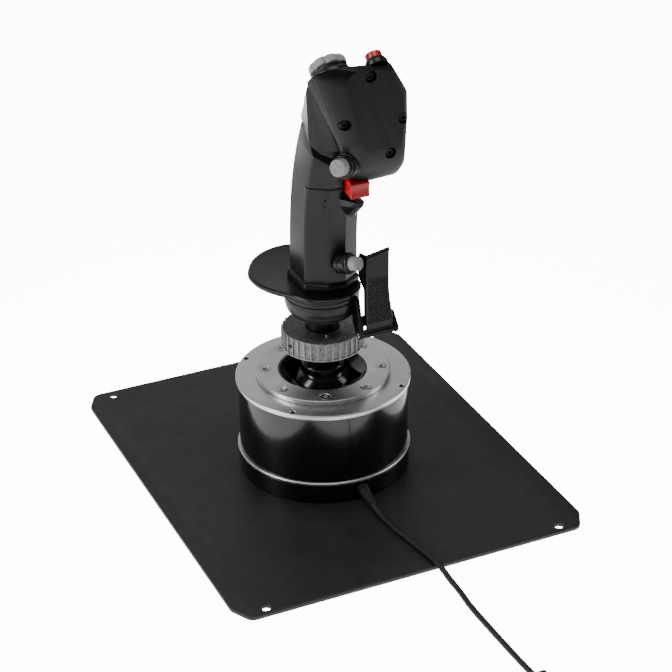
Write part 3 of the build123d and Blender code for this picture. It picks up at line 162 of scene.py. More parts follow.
def turned_lines(material, shader, pitch_mm, depth_mm):
    """Concentric lathe lines about the vertical axis."""
    rings = node(material, "ShaderNodeTexWave", scale=50 * TURN / pitch_mm, distortion=1.5)
    rings.wave_type = "RINGS"
    rings.rings_direction = "Z"
    rings.inputs["Detail"].default_value = 3.0
    rings.inputs["Detail Scale"].default_value = 2.0
    bump = node(material, "ShaderNodeBump", strength=0.6, distance=depth_mm * MM)
    wire(material, object_point(material), rings.inputs["Vector"])
    wire(material, rings.outputs["Fac"], bump.inputs["Height"])
    wire(material, bump.outputs["Normal"], shader.inputs["Normal"])


def powder_coat():
    material, shader = new_material("powder_coat", (0.014, 0.013, 0.0125))
    add_grain(material, shader, 0.9, 0.05)
    vary_roughness(material, shader, 0.42, 0.56, 25)
    mottled = vary_color(material, shader, (0.012, 0.011, 0.0105), (0.017, 0.0155, 0.015), 6)
    wear_edges(material, shader, mottled, (0.06, 0.045, 0.034), 0.8)
    return material


def gloss_black():
    material, shader = new_material("gloss_black", (0.006, 0.006, 0.006), coat=0.2)
    add_grain(material, shader, 6, 0.012, detail=2.0)
    vary_roughness(material, shader, 0.13, 0.22, 30)
    mottled = vary_color(material, shader, (0.003, 0.003, 0.003), (0.005, 0.005, 0.005), 9)
    wear_edges(material, shader, mottled, (0.02, 0.02, 0.02), 0.4)
    return material


def satin_aluminium(name, color, low, high):
    material, shader = new_material(name, color, metallic=1.0)
    turned_lines(material, shader, 0.35, 0.01)
    vary_roughness(material, shader, low, high, 18)
    bright = tuple(min(1.0, c * 1.08) for c in color)
    mottled = vary_color(material, shader, color, bright, 14)
    wear_edges(material, shader, mottled, (0.92, 0.92, 0.91), 0.4)
    return material


def cast_metal():
    material, shader = new_material("cast_metal", (0.3, 0.31, 0.31), metallic=0.85)
    add_grain(material, shader, 0.8, 0.09, detail=6.0)
    vary_roughness(material, shader, 0.38, 0.6, 5)
    mottled = vary_color(material, shader, (0.15, 0.155, 0.155), (0.3, 0.305, 0.3), 2.2)
    wear_edges(material, shader, mottled, (0.78, 0.78, 0.76), 0.45)
    return material


def bright_steel():
    material, shader = new_material("steel", (0.6, 0.6, 0.59), metallic=1.0)
    add_grain(material, shader, 0.5, 0.008)
    vary_roughness(material, shader, 0.2, 0.34, 3)
    mottled = vary_color(material, shader, (0.5, 0.49, 0.47), (0.66, 0.66, 0.64), 2.5)
    wear_edges(material, shader, mottled, (0.9, 0.9, 0.88), 0.2)
    return material


def black_metal():
    material, shader = new_material("black_metal", (0.012, 0.012, 0.012), metallic=0.3)
    add_grain(material, shader, 0.6, 0.012)
    vary_roughness(material, shader, 0.3, 0.42, 8)
    mottled = vary_color(material, shader, (0.006, 0.006, 0.006), (0.011, 0.0105, 0.01), 4)
    wear_edges(material, shader, mottled, (0.11, 0.1, 0.09), 0.3)
    return material


def grip_plastic(name="grip_black", low=0.26, high=0.36):
    material, shader = new_material(name, (0.018, 0.018, 0.018))
    shader.inputs["Specular IOR Level"].default_value = 0.4
    add_grain(material, shader, 0.55, 0.014, detail=5.0)
    vary_roughness(material, shader, low, high, 16)
    mottled = vary_color(material, shader, (0.006, 0.006, 0.006), (0.0095, 0.009, 0.009), 5)
    wear_edges(material, shader, mottled, (0.03, 0.029, 0.028), 0.5)
    return material


def grey_plastic():
    material, shader = new_material("cap_grey", (0.36, 0.36, 0.35))
    add_grain(material, shader, 0.5, 0.012)
    vary_roughness(material, shader, 0.4, 0.55, 4)
    mottled = vary_color(material, shader, (0.33, 0.33, 0.32), (0.4, 0.4, 0.39), 3)
    wear_edges(material, shader, mottled, (0.52, 0.52, 0.5), 0.3)
    return material


def red_plastic():
    material, shader = new_material("control_red", (0.6, 0.01, 0.02), coat=0.25)
    add_grain(material, shader, 0.7, 0.01)
    vary_roughness(material, shader, 0.26, 0.4, 5)
    mottled = vary_color(material, shader, (0.52, 0.008, 0.014), (0.64, 0.012, 0.022), 4)
    wear_edges(material, shader, mottled, (0.8, 0.06, 0.06), 0.3)
    return material


def rubber():
    material, shader = new_material("cable_rubber", (0.014, 0.014, 0.014))
    add_grain(material, shader, 0.7, 0.03)
    vary_roughness(material, shader, 0.45, 0.65, 7)
    mottled = vary_color(material, shader, (0.007, 0.007, 0.007), (0.011, 0.011, 0.011), 5)
    wear_edges(material, shader, mottled, (0.035, 0.035, 0.035), 0.3)
    return material


def bearing_bronze():
    material, shader = new_material("bearing_bronze", (0.55, 0.36, 0.16), metallic=1.0)
    add_grain(material, shader, 0.4, 0.02)
    vary_roughness(material, shader, 0.3, 0.45, 3)
    mottled = vary_color(material, shader, (0.46, 0.3, 0.13), (0.6, 0.42, 0.2), 2)
    wear_edges(material, shader, mottled, (0.8, 0.62, 0.36), 0.2)
    return material


def solder_mask():
    material, shader = new_material("board_green", (0.02, 0.12, 0.05), coat=0.3)
    add_grain(material, shader, 1.5, 0.015)
    vary_roughness(material, shader, 0.3, 0.45, 4)
    mottled = vary_color(material, shader, (0.015, 0.1, 0.04), (0.03, 0.15, 0.07), 3)
    wear_edges(material, shader, mottled, (0.4, 0.3, 0.15), 0.2)
    return material


MATERIALS = {
    "powder_coat": powder_coat(),
    "gloss_black": gloss_black(),
    "flange_metal": satin_aluminium("flange_metal", (0.72, 0.7, 0.68), 0.26, 0.36),
    "ring_metal": satin_aluminium("ring_metal", (0.7, 0.72, 0.72), 0.3, 0.4),
    "cast_metal": cast_metal(),
    "steel": bright_steel(),
    "black_metal": black_metal(),
    "grip_black": grip_plastic(),
    "cap_grey": grey_plastic(),
    "control_red": red_plastic(),
    "cable_rubber": rubber(),
    "bearing_bronze": bearing_bronze(),
    "board_green": solder_mask(),
}

# ---------------------------------------------------------------- mesh tools


def rounded(points, corner=3.0, steps=6):
    """A closed outline with each corner turned into an arc; a point may carry its own radius third."""
    outline = []
    count = len(points)
    for i, point in enumerate(points):
        radius = point[2] if len(point) > 2 else corner
        here = Vector(point[:2])
        before = Vector(points[i - 1][:2]) - here
        after = Vector(points[(i + 1) % count][:2]) - here
        half = before.angle(after) / 2
        reach = min(radius / math.tan(half), 0.45 * before.length, 0.45 * after.length)
        arc_r = reach * math.tan(half)
        start = here + before.normalized() * reach
        end = here + after.normalized() * reach
        centre = here + (before.normalized() + after.normalized()).normalized() * (arc_r / math.sin(half))
        sweep = (start - centre).angle_signed(end - centre)
        for k in range(steps + 1):
            turn = Matrix.Rotation(-sweep * k / steps, 2)
            outline.append(centre + turn @ (start - centre))
    return outline


def eased(points, corner=0.5, steps=4):
    """An open path whose inner corners are turned into arcs; its two ends stay where they are."""
    path = [Vector(points[0][:2])]
    for i in range(1, len(points) - 1):
        radius = points[i][2] if len(points[i]) > 2 else corner
        here = Vector(points[i][:2])
        before = Vector(points[i - 1][:2]) - here
        after = Vector(points[i + 1][:2]) - here
        half = before.angle(after) / 2
        if radius == 0 or half > math.pi / 2 - 0.02:
            path.append(here)
            continue
        reach = min(radius / math.tan(half), 0.45 * before.length, 0.45 * after.length)
        start = here + before.normalized() * reach
        end = here + after.normalized() * reach
        for k in range(steps + 1):
            t = k / steps
            path.append(start * (1 - t) ** 2 + here * 2 * t * (1 - t) + end * t**2)
    path.append(Vector(points[-1][:2]))
    return path


def placed(origin=(0, 0, 0), normal=(0, 0, 1), x_dir=(1, 0, 0)):
    """Matrix that carries local x, y, z to x_dir, the third direction and normal at origin, in mm."""
    z = Vector(normal).normalized()
    if abs(z.dot(Vector(x_dir))) > 0.99:
        x_dir = (0, 1, 0)
    x = (Vector(x_dir) - z * Vector(x_dir).dot(z)).normalized()
    y = z.cross(x)
    return Matrix.Translation(origin) @ Matrix((x, y, z)).transposed().to_4x4()


def along_axis(origin, direction):
    """A frame at origin whose z runs along direction, with a level x."""
    z = Vector(direction).normalized()
    return placed(origin, z, Vector((0, 0, 1)).cross(z))


class Builder:
    """Collects closed forms in millimetres for one piece."""

    def __init__(self):
        self.bm = bmesh.new()

    def grid(self, rings, closed_around=True, closed_along=False, caps=True):
        """Skins rings of points; a ring with one point is a pole."""
        rows = [[self.bm.verts.new(p) for p in ring] for ring in rings]
        pairs = list(zip(rows, rows[1:]))
        if closed_along:
            pairs.append((rows[-1], rows[0]))
        for lower, upper in pairs:
            around = max(len(lower), len(upper))
            for i in range(around if closed_around else around - 1):
                j = (i + 1) % around
                corners = [lower[i % len(lower)], lower[j % len(lower)]]
                corners += [upper[j % len(upper)], upper[i % len(upper)]]
                corners = list(dict.fromkeys(corners))
                if len(corners) > 2:
                    self.bm.faces.new(corners)
        if caps and not closed_along:
            for row in (rows[0], rows[-1]):
                if len(row) > 2:
                    self.bm.faces.new(row)
        return self

    def lathe(self, path, at=Matrix(), steps=128, closed=False, caps=True):
        """Turns a path of (radius, height) about the z axis of the frame at."""
        rings = []
        for radius, height in path:
            if radius < 1e-6:
                rings.append([at @ Vector((0, 0, height))])
                continue
            rings.append(
                [
                    at @ Vector((radius * math.cos(TURN * k / steps), radius * math.sin(TURN * k / steps), height))
                    for k in range(steps)
                ]
            )
        return self.grid(rings, closed_along=closed, caps=caps)

    def prism(self, outline, low, high, at=Matrix()):
        """Extrudes an outline between two heights of the frame at."""
        rings = [[at @ Vector((x, y, h)) for x, y in outline] for h in (low, high)]
        return self.grid(rings)

    def slice_off(self, origin, normal):
        """Removes what lies beyond a plane and closes the cut."""
        everything = self.bm.verts[:] + self.bm.edges[:] + self.bm.faces[:]
        bmesh.ops.bisect_plane(
            self.bm, geom=everything, plane_co=origin, plane_no=normal, clear_outer=True
        )
        rim = [edge for edge in self.bm.edges if len(edge.link_faces) == 1]
        bmesh.ops.edgeloop_fill(self.bm, edges=rim)
        return self

    def mesh(self, name):
        bmesh.ops.remove_doubles(self.bm, verts=self.bm.verts[:], dist=1e-4)
        bmesh.ops.recalc_face_normals(self.bm, faces=self.bm.faces[:])
        self.bm.transform(Matrix.Scale(MM, 4))
        data = bpy.data.meshes.new(name)
        self.bm.to_mesh(data)
        self.bm.free()
        return data


def bare_object(name, builder):
    made = bpy.data.objects.new(name, builder.mesh(name))
    bpy.context.scene.collection.objects.link(made)
    return made


def bake(obj):
    """Turns the object's modifiers into plain mesh."""
    bpy.context.view_layer.update()
    evaluated = obj.evaluated_get(bpy.context.evaluated_depsgraph_get())
    data = bpy.data.meshes.new_from_object(evaluated)
    obj.modifiers.clear()
    obj.data = data


def soften(obj, width, segments=3, angle=30.0, thin_near=None, thin=0.25):
    """Rounds edges sharper than angle by width; edges that thin_near picks get thin times the width."""
    bm = bmesh.new()
    bm.from_mesh(obj.data)
    weights = [0.0] * len(bm.edges)
    bm.edges.index_update()
    for edge in bm.edges:
        if len(edge.link_faces) == 2 and edge.calc_face_angle(0) > math.radians(angle):
            middle = (edge.verts[0].co + edge.verts[1].co) / 2 / MM
            weights[edge.index] = thin if thin_near and thin_near(middle) else 1.0
    bm.free()
    attribute = obj.data.attributes.new("bevel_weight_edge", "FLOAT", "EDGE")
    attribute.data.foreach_set("value", weights)
    bevel = obj.modifiers.new("bevel", "BEVEL")
    bevel.limit_method = "WEIGHT"
    bevel.width = width * MM
    bevel.segments = segments
    bevel.use_clamp_overlap = True
    bake(obj)


def combine(obj, other, operation):
    """Joins, cuts or intersects the object with another one, which is used up."""
    boolean = obj.modifiers.new("combine", "BOOLEAN")
    boolean.operation = operation
    boolean.solver = "EXACT"
    boolean.object = other
    bake(obj)
    bpy.data.objects.remove(other)


def cut(obj, builder):
    """Subtracts a form from the object."""
    combine(obj, bare_object("cutter", builder), "DIFFERENCE")


def finished(obj, cad_nodes, slot):
    """Gives a piece its material, shading, body and slot, in place of its CAD nodes."""
    obj.data.materials.clear()
    obj.data.materials.append(MATERIALS[slot])
    for polygon in obj.data.polygons:
        polygon.use_smooth = True
        polygon.material_index = 0
    obj.data.set_sharp_from_angle(angle=math.radians(32))
    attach(obj, frame["nodes"][cad_nodes[0]]["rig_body"])
    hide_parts(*cad_nodes)
    return obj


def extra(obj, body, slot):
    """Finishes a detail that rides a body without replacing a CAD node."""
    obj.data.materials.clear()
    obj.data.materials.append(MATERIALS[slot])
    for polygon in obj.data.polygons:
        polygon.use_smooth = True
        polygon.material_index = 0
    obj.data.set_sharp_from_angle(angle=math.radians(32))
    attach(obj, body)


def piece(name, builder, cad_nodes, slot, soft=0.0, **options):
    """A finished piece straight from a builder."""
    made = bare_object(name, builder)
    if soft:
        soften(made, soft, **options)
    return finished(made, cad_nodes, slot)


# ---------------------------------------------------------------- weighted plate and round base

PLATE_X, PLATE_Y, PLATE_T = 253.0, 303.0, 3.0
PLATE_HOLES = [(x, y) for x in (-105.7, 105.7) for y in (-144.9, 144.9)]


def ring_points(radius, count, first_degrees):
    """Evenly spaced (x, y) places on a circle."""
    return [
        (
            radius * math.cos(math.radians(first_degrees) + TURN * k / count),
            radius * math.sin(math.radians(first_degrees) + TURN * k / count),
        )
        for k in range(count)
    ]


def build_plate():
    half_x, half_y = PLATE_X / 2, PLATE_Y / 2
    corner_x, corner_y = half_x - 8, half_y - 15
    outline = rounded(
        [
            (half_x, corner_y), (corner_x, half_y), (-corner_x, half_y), (-half_x, corner_y),
            (-half_x, -corner_y), (-corner_x, -half_y), (corner_x, -half_y), (half_x, -corner_y),
        ],
        corner=7,
    )
    plate = bare_object("base_plate_coated", Builder().prism(outline, 0, PLATE_T))
    soften(plate, 0.6, angle=50)
    holes = Builder()
    for x, y in PLATE_HOLES:
        path = [(0, -1), (3.1, -1), (3.1, PLATE_T - 0.5), (3.9, PLATE_T + 0.3), (0, PLATE_T + 0.3)]
        holes.lathe(path, placed((x, y, 0)), steps=48)
    cut(plate, holes)
    finished(plate, ["base_plate"], "powder_coat")


def build_housing():
    lower = Builder().lathe(
        eased([(30, 3.0), (59.0, 3.0), (59.4, 3.4), (59.4, 16.6), (59.0, 17.0), (55.5, 17.0), (55.5, 8), (30, 8)], 0.3),
        steps=192,
        closed=True,
    )
    piece("lower_housing_turned", lower, ["lower_housing"], "gloss_black")
    trim = Builder().lathe(
        eased([(56, 17.0), (59.4, 17.0), (60, 17.5), (60, 18.6), (59.3, 19.2), (56, 19.2)], 0.5),
        steps=192,
        closed=True,
    )
    piece("trim_ring_turned", trim, ["trim_ring"], "ring_metal")
    shell = Builder().lathe(
        eased([(55.5, 19.2), (58.1, 19.2), (58.5, 19.6), (58.5, 67.9), (58.1, 68.3), (55.5, 68.3)], 0.3),
        steps=192,
        closed=True,
    )
    piece("base_shell_polished", shell, ["base_shell"], "gloss_black")


FLANGE_TOP = 71.8
COVER_TOP = 75.5
FLANGE_HOLES = ring_points(57.0, 4, 45)
COVER_HOLES = ring_points(39.8, 8, 22.5)


def build_flange():
    flange = bare_object(
        "top_flange_turned",
        Builder().lathe(
            eased([(30.3, 68.3), (59.4, 68.3), (60, 68.9), (60, 71.3), (59.5, 71.8), (30.3, 71.8)], 0.25),
            steps=192,
            closed=True,
        ),
    )
    holes = Builder()
    for x, y in FLANGE_HOLES:
        path = [(0, 69.6), (1.9, 69.6), (1.9, 71.5), (2.2, 71.9), (0, 71.9)]
        holes.lathe(path, placed((x, y, 0)), steps=32)
    cut(flange, holes)
    finished(flange, ["top_flange"], "flange_metal")

    screws = Builder()
    for x, y in FLANGE_HOLES:
        here = placed((x, y, 0))
        path = eased([(0, 70.3), (0.7, 70.3), (0.8, 71.0), (1.2, 71.0), (1.4, 70.7), (1.4, 69.6), (0, 69.6)], 0.1)
        screws.lathe(path, here, steps=32)
        screws.lathe([(0, 64), (0.8, 64), (0.8, 69.6), (0, 69.6)], here, steps=24)
    piece("flange_screws_recessed", screws, ["flange_screws"], "black_metal")

    ring = bare_object(
        "cover_ring_turned",
        Builder().lathe(
            eased(
                [
                    (30.3, 71.8), (45.4, 71.8), (45.4, 72.4), (46.2, 72.4), (46.2, 75.5, 1.3), (45.0, 75.5),
                    (31.0, 75.5), (30.3, 75.1),
                ],
                0.2,
            ),
            steps=192,
            closed=True,
        ),
    )
    sinks = Builder()
    for x, y in COVER_HOLES:
        path = [(0, 71), (1.9, 71), (1.9, 73.3), (4.25, 75.65), (0, 75.65)]
        sinks.lathe(path, placed((x, y, 0)), steps=48)
    cut(ring, sinks)
    finished(ring, ["cover_ring"], "ring_metal")

    heads = Builder()
    for turn, (x, y) in enumerate(COVER_HOLES):
        here = placed((x, y, 0), x_dir=(math.cos(turn * 1.9), math.sin(turn * 1.9), 0))
        hex_key = [Vector((1.7 * math.cos(TURN * k / 48), 1.7 * math.sin(TURN * k / 48))) for k in range(48)]
        for point in hex_key:
            angle = math.atan2(point.y, point.x) % (TURN / 6) - TURN / 12
            point *= math.cos(TURN / 12) / math.cos(angle)
        levels = [(1.8, 66), (1.8, 73.2), (3.8, 75.2), (3.75, 75.35), (3.5, 75.45)]
        rings = [
            [here @ Vector((r * math.cos(TURN * k / 48), r * math.sin(TURN * k / 48), z)) for k in range(48)]
            for r, z in levels
        ]
        rings.append([here @ Vector((p.x * 1.08, p.y * 1.08, 75.45)) for p in hex_key])
        rings.append([here @ Vector((p.x, p.y, 75.3)) for p in hex_key])
        rings.append([here @ Vector((p.x, p.y, 73.9)) for p in hex_key])
        heads.grid(rings)
    piece("cover_ring_screws_socket", heads, ["cover_ring_screws"], "steel")


def square_radius(angle, half=21.5, corner=7.0):
    """Distance from the centre to a rounded square at an angle."""
    fold = abs((angle + TURN / 8) % (TURN / 4) - TURN / 8)
    straight = half / math.cos(fold)
    if straight * math.sin(fold) <= half - corner:
        return straight
    inner = (half - corner) * math.sqrt(2)
    off = TURN / 8 - fold
    return inner * math.cos(off) + math.sqrt(corner**2 - (inner * math.sin(off)) ** 2)


def build_gate():
    """The glossy cup: a round rim, a funnel, and a rounded-square opening with a lip."""
    steps = 256
    rings = []
    angles = [TURN * k / steps for k in range(steps)]

    def ring(radius_at, height_at):
        rings.append(
            [(radius_at(a) * math.cos(a), radius_at(a) * math.sin(a), height_at(a)) for a in angles]
        )

    def funnel_z(a, extra=0.0):
        return 70.0 + 5.0 * (square_radius(a) + extra - 20.5) / 8.8

    ring(lambda a: 44, lambda a: 65.5)
    ring(lambda a: 44, lambda a: 68.3)
    ring(lambda a: 30.2, lambda a: 68.3)
    ring(lambda a: 30.2, lambda a: 74.9)
    ring(lambda a: 30.0, lambda a: 75.2)
    ring(lambda a: 29.6, lambda a: 75.3)
    ring(lambda a: 29.2, lambda a: 75.1)
    ring(lambda a: (29.2 + square_radius(a) + 0.9) / 2, lambda a: (75.1 + funnel_z(a, 0.9)) / 2 - 0.15)
    ring(lambda a: square_radius(a) + 0.9, lambda a: funnel_z(a, 0.9))
    ring(lambda a: square_radius(a) + 0.35, lambda a: funnel_z(a, 0.5))
    ring(lambda a: square_radius(a) + 0.05, lambda a: funnel_z(a) - 0.4)
    ring(lambda a: square_radius(a), lambda a: funnel_z(a) - 1.2)
    ring(lambda a: square_radius(a), lambda a: 67.7)
    ring(lambda a: max(square_radius(a), 23.1), lambda a: 67.6)
    ring(lambda a: max(square_radius(a), 23.1), lambda a: 65.5)
    cup = Builder().grid(rings, closed_along=True)
    piece("gate_cup_moulded", cup, ["gate_cup"], "gloss_black")


def arc_path(centre_z, radius, low_degrees, high_degrees, steps):
    """Points on a circle about the axis, from one elevation to another."""
    span = [math.radians(low_degrees + (high_degrees - low_degrees) * k / steps) for k in range(steps + 1)]
    return [(radius * math.cos(a), centre_z + radius * math.sin(a)) for a in span]


def build_dome():
    outside = arc_path(56, 24.0, 1.2, 49, 18)
    tier = eased([(15.6, 74.2), (14.5, 75.6, 1.0), (14.5, 81.5, 2.0), (11, 81.5, 0.4), (5, 81.5)], 0.5)
    inside = arc_path(56, 22.5, 77.2, 1.2, 14)
    dome = Builder().lathe([*outside, *[tuple(p) for p in tier], *inside], steps=160, closed=True)
    piece("dust_dome_moulded", dome, ["dust_dome"], "gloss_black")


def build_socket():
    flare = [(11 + 9 * (1 - math.cos(t)), 83.5 + 8.5 * math.sin(t)) for t in (0.2, 0.5, 0.8, 1.1, 1.4)]
    path = [(5, 81.5), (10.8, 81.5), (11, 81.8), *flare, (20, 92.4), (20, 94.1), (19.6, 94.5), (18, 94.5)]
    path += [(18, 101), (12, 101), (12, 90), (5, 86)]
    piece("grip_socket_turned", Builder().lathe(path, steps=128, closed=True), ["grip_socket"], "black_metal")


# ---------------------------------------------------------------- lock ring

RIDGES = 36
RING_R, RIDGE_R = 27.2, 28.3
RING_BOTTOM, RING_TOP = 95.1, 108.3


def build_lock_ring():
    """Knurled ring: narrow proud ridges on wide flats, with one continuous lip at the bottom."""
    offsets = [-0.5, -0.11, -0.085, -0.06, 0.06, 0.085, 0.11]
    heights = [0.0, 0.0, 0.7, 1.0, 1.0, 0.7, 0.0]
    ridge = [((k + o) * TURN / RIDGES, h) for k in range(RIDGES) for o, h in zip(offsets, heights)]

    def ring(z, proud, shrink=0.0, round_lip=False):
        points = []
        for angle, h in ridge:
            share = 1.0 if round_lip else h * proud
            radius = RING_R + (RIDGE_R - RING_R) * share - shrink
            points.append((radius * math.cos(angle), radius * math.sin(angle), z))
        return points

    def plain(radius, z):
        return [(radius * math.cos(a), radius * math.sin(a), z) for a, h in ridge]

    rings = [
        plain(18.05, RING_BOTTOM),
        plain(27.7, RING_BOTTOM),
        ring(RING_BOTTOM + 0.3, 1, 0.05, True),
        ring(RING_BOTTOM + 1.0, 1, 0.05, True),
        ring(RING_BOTTOM + 1.35, 1),
        ring(RING_TOP - 1.0, 1),
        ring(RING_TOP - 0.45, 0.85),
        ring(RING_TOP - 0.1, 0.35, 0.25),
        plain(26.4, RING_TOP),
        plain(20.0, RING_TOP),
        plain(11.8, RING_TOP),
        plain(11.4, RING_TOP - 0.4),
        plain(11.3, RING_TOP - 1.0),
        plain(11.3, 105.0),
        plain(18.05, 105.0),
    ]
    ring_obj = bare_object("lock_ring_knurled", Builder().grid(rings, closed_along=True))
    side = placed((0, 0, 101.5), (0.969, 0.249, 0), (0, 0, 1))
    holes = Builder().lathe([(0, 19.5), (1.7, 19.5), (1.7, 30), (0, 30)], side, steps=32)
    holes.lathe([(0, 106.2), (1.2, 106.2), (1.2, 109), (0, 109)], placed((3.3, 15.5, 0)), steps=24)
    cut(ring_obj, holes)
    finished(ring_obj, ["lock_ring"], "cast_metal")
    pin = Builder().lathe(
        eased([(0, 106.3), (1.18, 106.3), (1.18, 109.6, 0.5), (0, 109.6)]), placed((3.3, 15.5, 0)), steps=32
    )
    piece("lock_ring_pin_turned", pin, ["lock_ring_pin"], "steel")


# ---------------------------------------------------------------- grip foot

REST_Z, REST_TOP = 137.0, 141.0


def spline(points, per_span=8, closed=False):
    """A smooth curve through points, as Catmull-Rom spans."""
    path = []
    count = len(points)
    spans = count if closed else count - 1
    for i in range(spans):
        a, b, c, d = (
            Vector(points[(i + k) % count] if closed else points[min(max(i + k, 0), count - 1)])
            for k in (-1, 0, 1, 2)
        )
        for k in range(per_span):
            t = k / per_span
            path.append(
                0.5 * (2 * b + (c - a) * t + (2 * a - 5 * b + 4 * c - d) * t**2 + (3 * b - a - 3 * c + d) * t**3)
            )
    if not closed:
        path.append(Vector(points[-1]))
    return path


def build_neck_and_bowl():
    neck = Builder().lathe(
        [(8, 101), (16.3, 101), (16.5, 101.2), (16.5, 104.7), (16.3, 104.9), (11.2, 104.9), (11.2, 117.5), (8, 117.5)],
        closed=True,
    )
    piece("grip_neck_turned", neck, ["grip_neck"], "black_metal")
    side = [(19.4 + 5.9 * math.sin(t) ** 1.0, 120.2 + 10.3 * (1 - math.cos(t))) for t in (0.2, 0.5, 0.8, 1.1, 1.35)]
    path = eased(
        [
            (8, 117.5), (16.9, 117.5, 0.8), (18.4, 118.7, 0.5), (18.4, 119.5, 0.3), (19.4, 120.2, 0.3),
            *side, (25.3, 130.5), (25.3, 133.4, 0.3), (24.6, 133.8, 0.2), (24.6, 134.4, 0.2),
            (25.6, 134.8, 0.3), (25.6, REST_Z), (8, REST_Z),
        ],
        0.3,
    )
    piece("lower_collar_bowl", Builder().lathe(path, closed=True), ["lower_collar"], "grip_black")


def build_hand_rest():
    """The flat pinky shelf, with a full rounded edge."""
    outline = spline(
        [
            (25.5, 9.0), (16.5, 22.0), (2.0, 27.0), (-13.5, 23.0), (-24.0, 11.0), (-24.5, -10.0),
            (-22.0, -38.0), (-8.0, -61.0), (8.0, -64.0), (26.0, -55.0), (38.5, -37.0), (40.5, -22.0),
            (36.0, -6.5),
        ],
        closed=True,
        per_span=10,
    )
    levels = [(2.2, 0.0), (0.9, 0.35), (0.15, 1.3), (0.0, 2.2), (0.2, 3.2), (0.8, 3.8), (1.6, 4.0), (2.6, 3.9), (3.4, 3.75)]
    centre = Vector((6, -16))
    rings = []
    for inset, rise in levels:
        ring = []
        for point in outline:
            away = point - centre
            inner = centre + away * (1 - inset / away.length)
            ring.append((inner.x, inner.y, REST_Z + rise))
        rings.append(ring)
    piece("hand_rest_moulded", Builder().grid(rings), ["hand_rest"], "grip_black")


# ---------------------------------------------------------------- handle

HANDLE_X = -4.0
HANDLE_OUTLINE = [
    (18.7, 6.2), (6, 15), (-6, 15), (-18.7, 6.2), (-18.7, -19), (-10, -31), (10, -31), (18.7, -19),
]
PLINTH_TOP, PANEL_TOP, PANEL_BACK = 147.0, 209.0, 5.8
PANEL_PEAK, TRIGGER_SIDE = 216.8, -7.4
THUMB_TILT = math.radians(50)
THUMB_NORMAL = Vector((0, -math.sin(THUMB_TILT), math.cos(THUMB_TILT)))
RIDGE = Vector((0, 27.0, 303.0))

# the head's lower edge on the user's right, and the plane the handle ends at beneath it
UNDERCUT = (12, 12, 247.7)
UNDERCUT_NORMAL = Vector((0.74, -0.636, -1)).normalized()
HANDLE_END = (12, 13.7, 243)
HANDLE_END_NORMAL = Vector((0, 1.25, 1)).normalized()


def handle_ring(z, grow=0.0, corner=2.6):
    """The handle's outline at a height, leaning forward and to the left towards the top."""
    lean = max(0.0, (z - 150.0) / 88.0) ** 2.6
    centre = Vector((HANDLE_X - 2.8 * lean, 8.0 * lean))
    points = []
    for x, y in HANDLE_OUTLINE:
        away = Vector((x, y + 8))
        wider = away * (1 + grow / away.length)
        points.append((centre.x + wider.x, centre.y + wider.y - 8))
    return [(p.x, p.y, z) for p in rounded(points, corner, 5)]


def frange(low, high, count):
    return [low + (high - low) * k / (count - 1) for k in range(count)]


def trigger_well():
    """The opening that the trigger swings in."""
    well = [(-23.95, 6), (-7.45, 6), (-7.45, 26), (-23.95, 26)]
    return Builder().prism(rounded(well, 1.0), 211.2, 239.2)


def side_well():
    return Builder().lathe([(0, -2), (8.45, -2), (8.45, 18), (0, 18)], SIDE_FRAME, steps=64)


def panel_steps(gap):
    """The two boxes that the front panel fills: full width, and a taller one right of the trigger."""
    sizes = ((HANDLE_X - 40, PANEL_TOP), (TRIGGER_SIDE, PANEL_PEAK))
    return [
        Builder().prism(
            [(left, PANEL_BACK + gap), (60, PANEL_BACK + gap), (60, 50), (left, 50)], PLINTH_TOP + gap, top - gap
        )
        for left, top in sizes
    ]


def build_handle():
    levels = frange(REST_TOP, 256, 30)
    body = Builder().grid([handle_ring(z) for z in levels])
    body.slice_off(RIDGE, THUMB_NORMAL)
    body.slice_off(HANDLE_END, HANDLE_END_NORMAL)
    handle = bare_object("handle_shell_moulded", body)
    soften(handle, 1.0, angle=38)
    for step in panel_steps(0):
        cut(handle, step)
    cut(handle, trigger_well())
    cut(handle, side_well())
    finished(handle, ["handle_shell"], "grip_black")

    plinth = Builder().grid([handle_ring(z, grow, 3.4) for z, grow in ((REST_TOP, 2.2), (144.8, 2.1), (146.6, 0.2))])
    foot = bare_object("handle_plinth_moulded", plinth)
    soften(foot, 0.5, angle=25)
    extra(foot, "grip", "grip_black")


def build_front_panel():
    """The smooth front half of the handle, with the nose below the trigger."""
    panel = bare_object(
        "handle_front_panel_moulded", Builder().grid([handle_ring(z, 0.8) for z in frange(PLINTH_TOP, 222, 24)])
    )
    window, tall_window = (bare_object("window", step) for step in panel_steps(0.1))
    combine(window, tall_window, "UNION")
    combine(panel, window, "INTERSECT")
    soften(panel, 0.7, angle=50)
    finished(panel, ["handle_front_panel"], "grip_black")

    nose_side = rounded(
        [(10, 188), (15.5, 194, 9), (27, 204.5, 6), (29, 207.5, 1.2), (29, 209, 0.6), (10, 209, 0.5)], 2
    )
    rings = []
    for k, x in enumerate(frange(-18.8, 5.0, 24)):
        fade = max(0.0, min(1.0, (x + 14.0) / 11.0))
        reach = 1.0 - 0.62 * fade * fade * (3 - 2 * fade)
        if k == 0:
            reach = 0.94
        rings.append([(x, 10 + (p.x - 10) * reach, p.y) for p in nose_side])
    nose = bare_object("handle_nose_moulded", Builder().grid(rings))
    extra(nose, "grip", "grip_black")


# ---------------------------------------------------------------- head

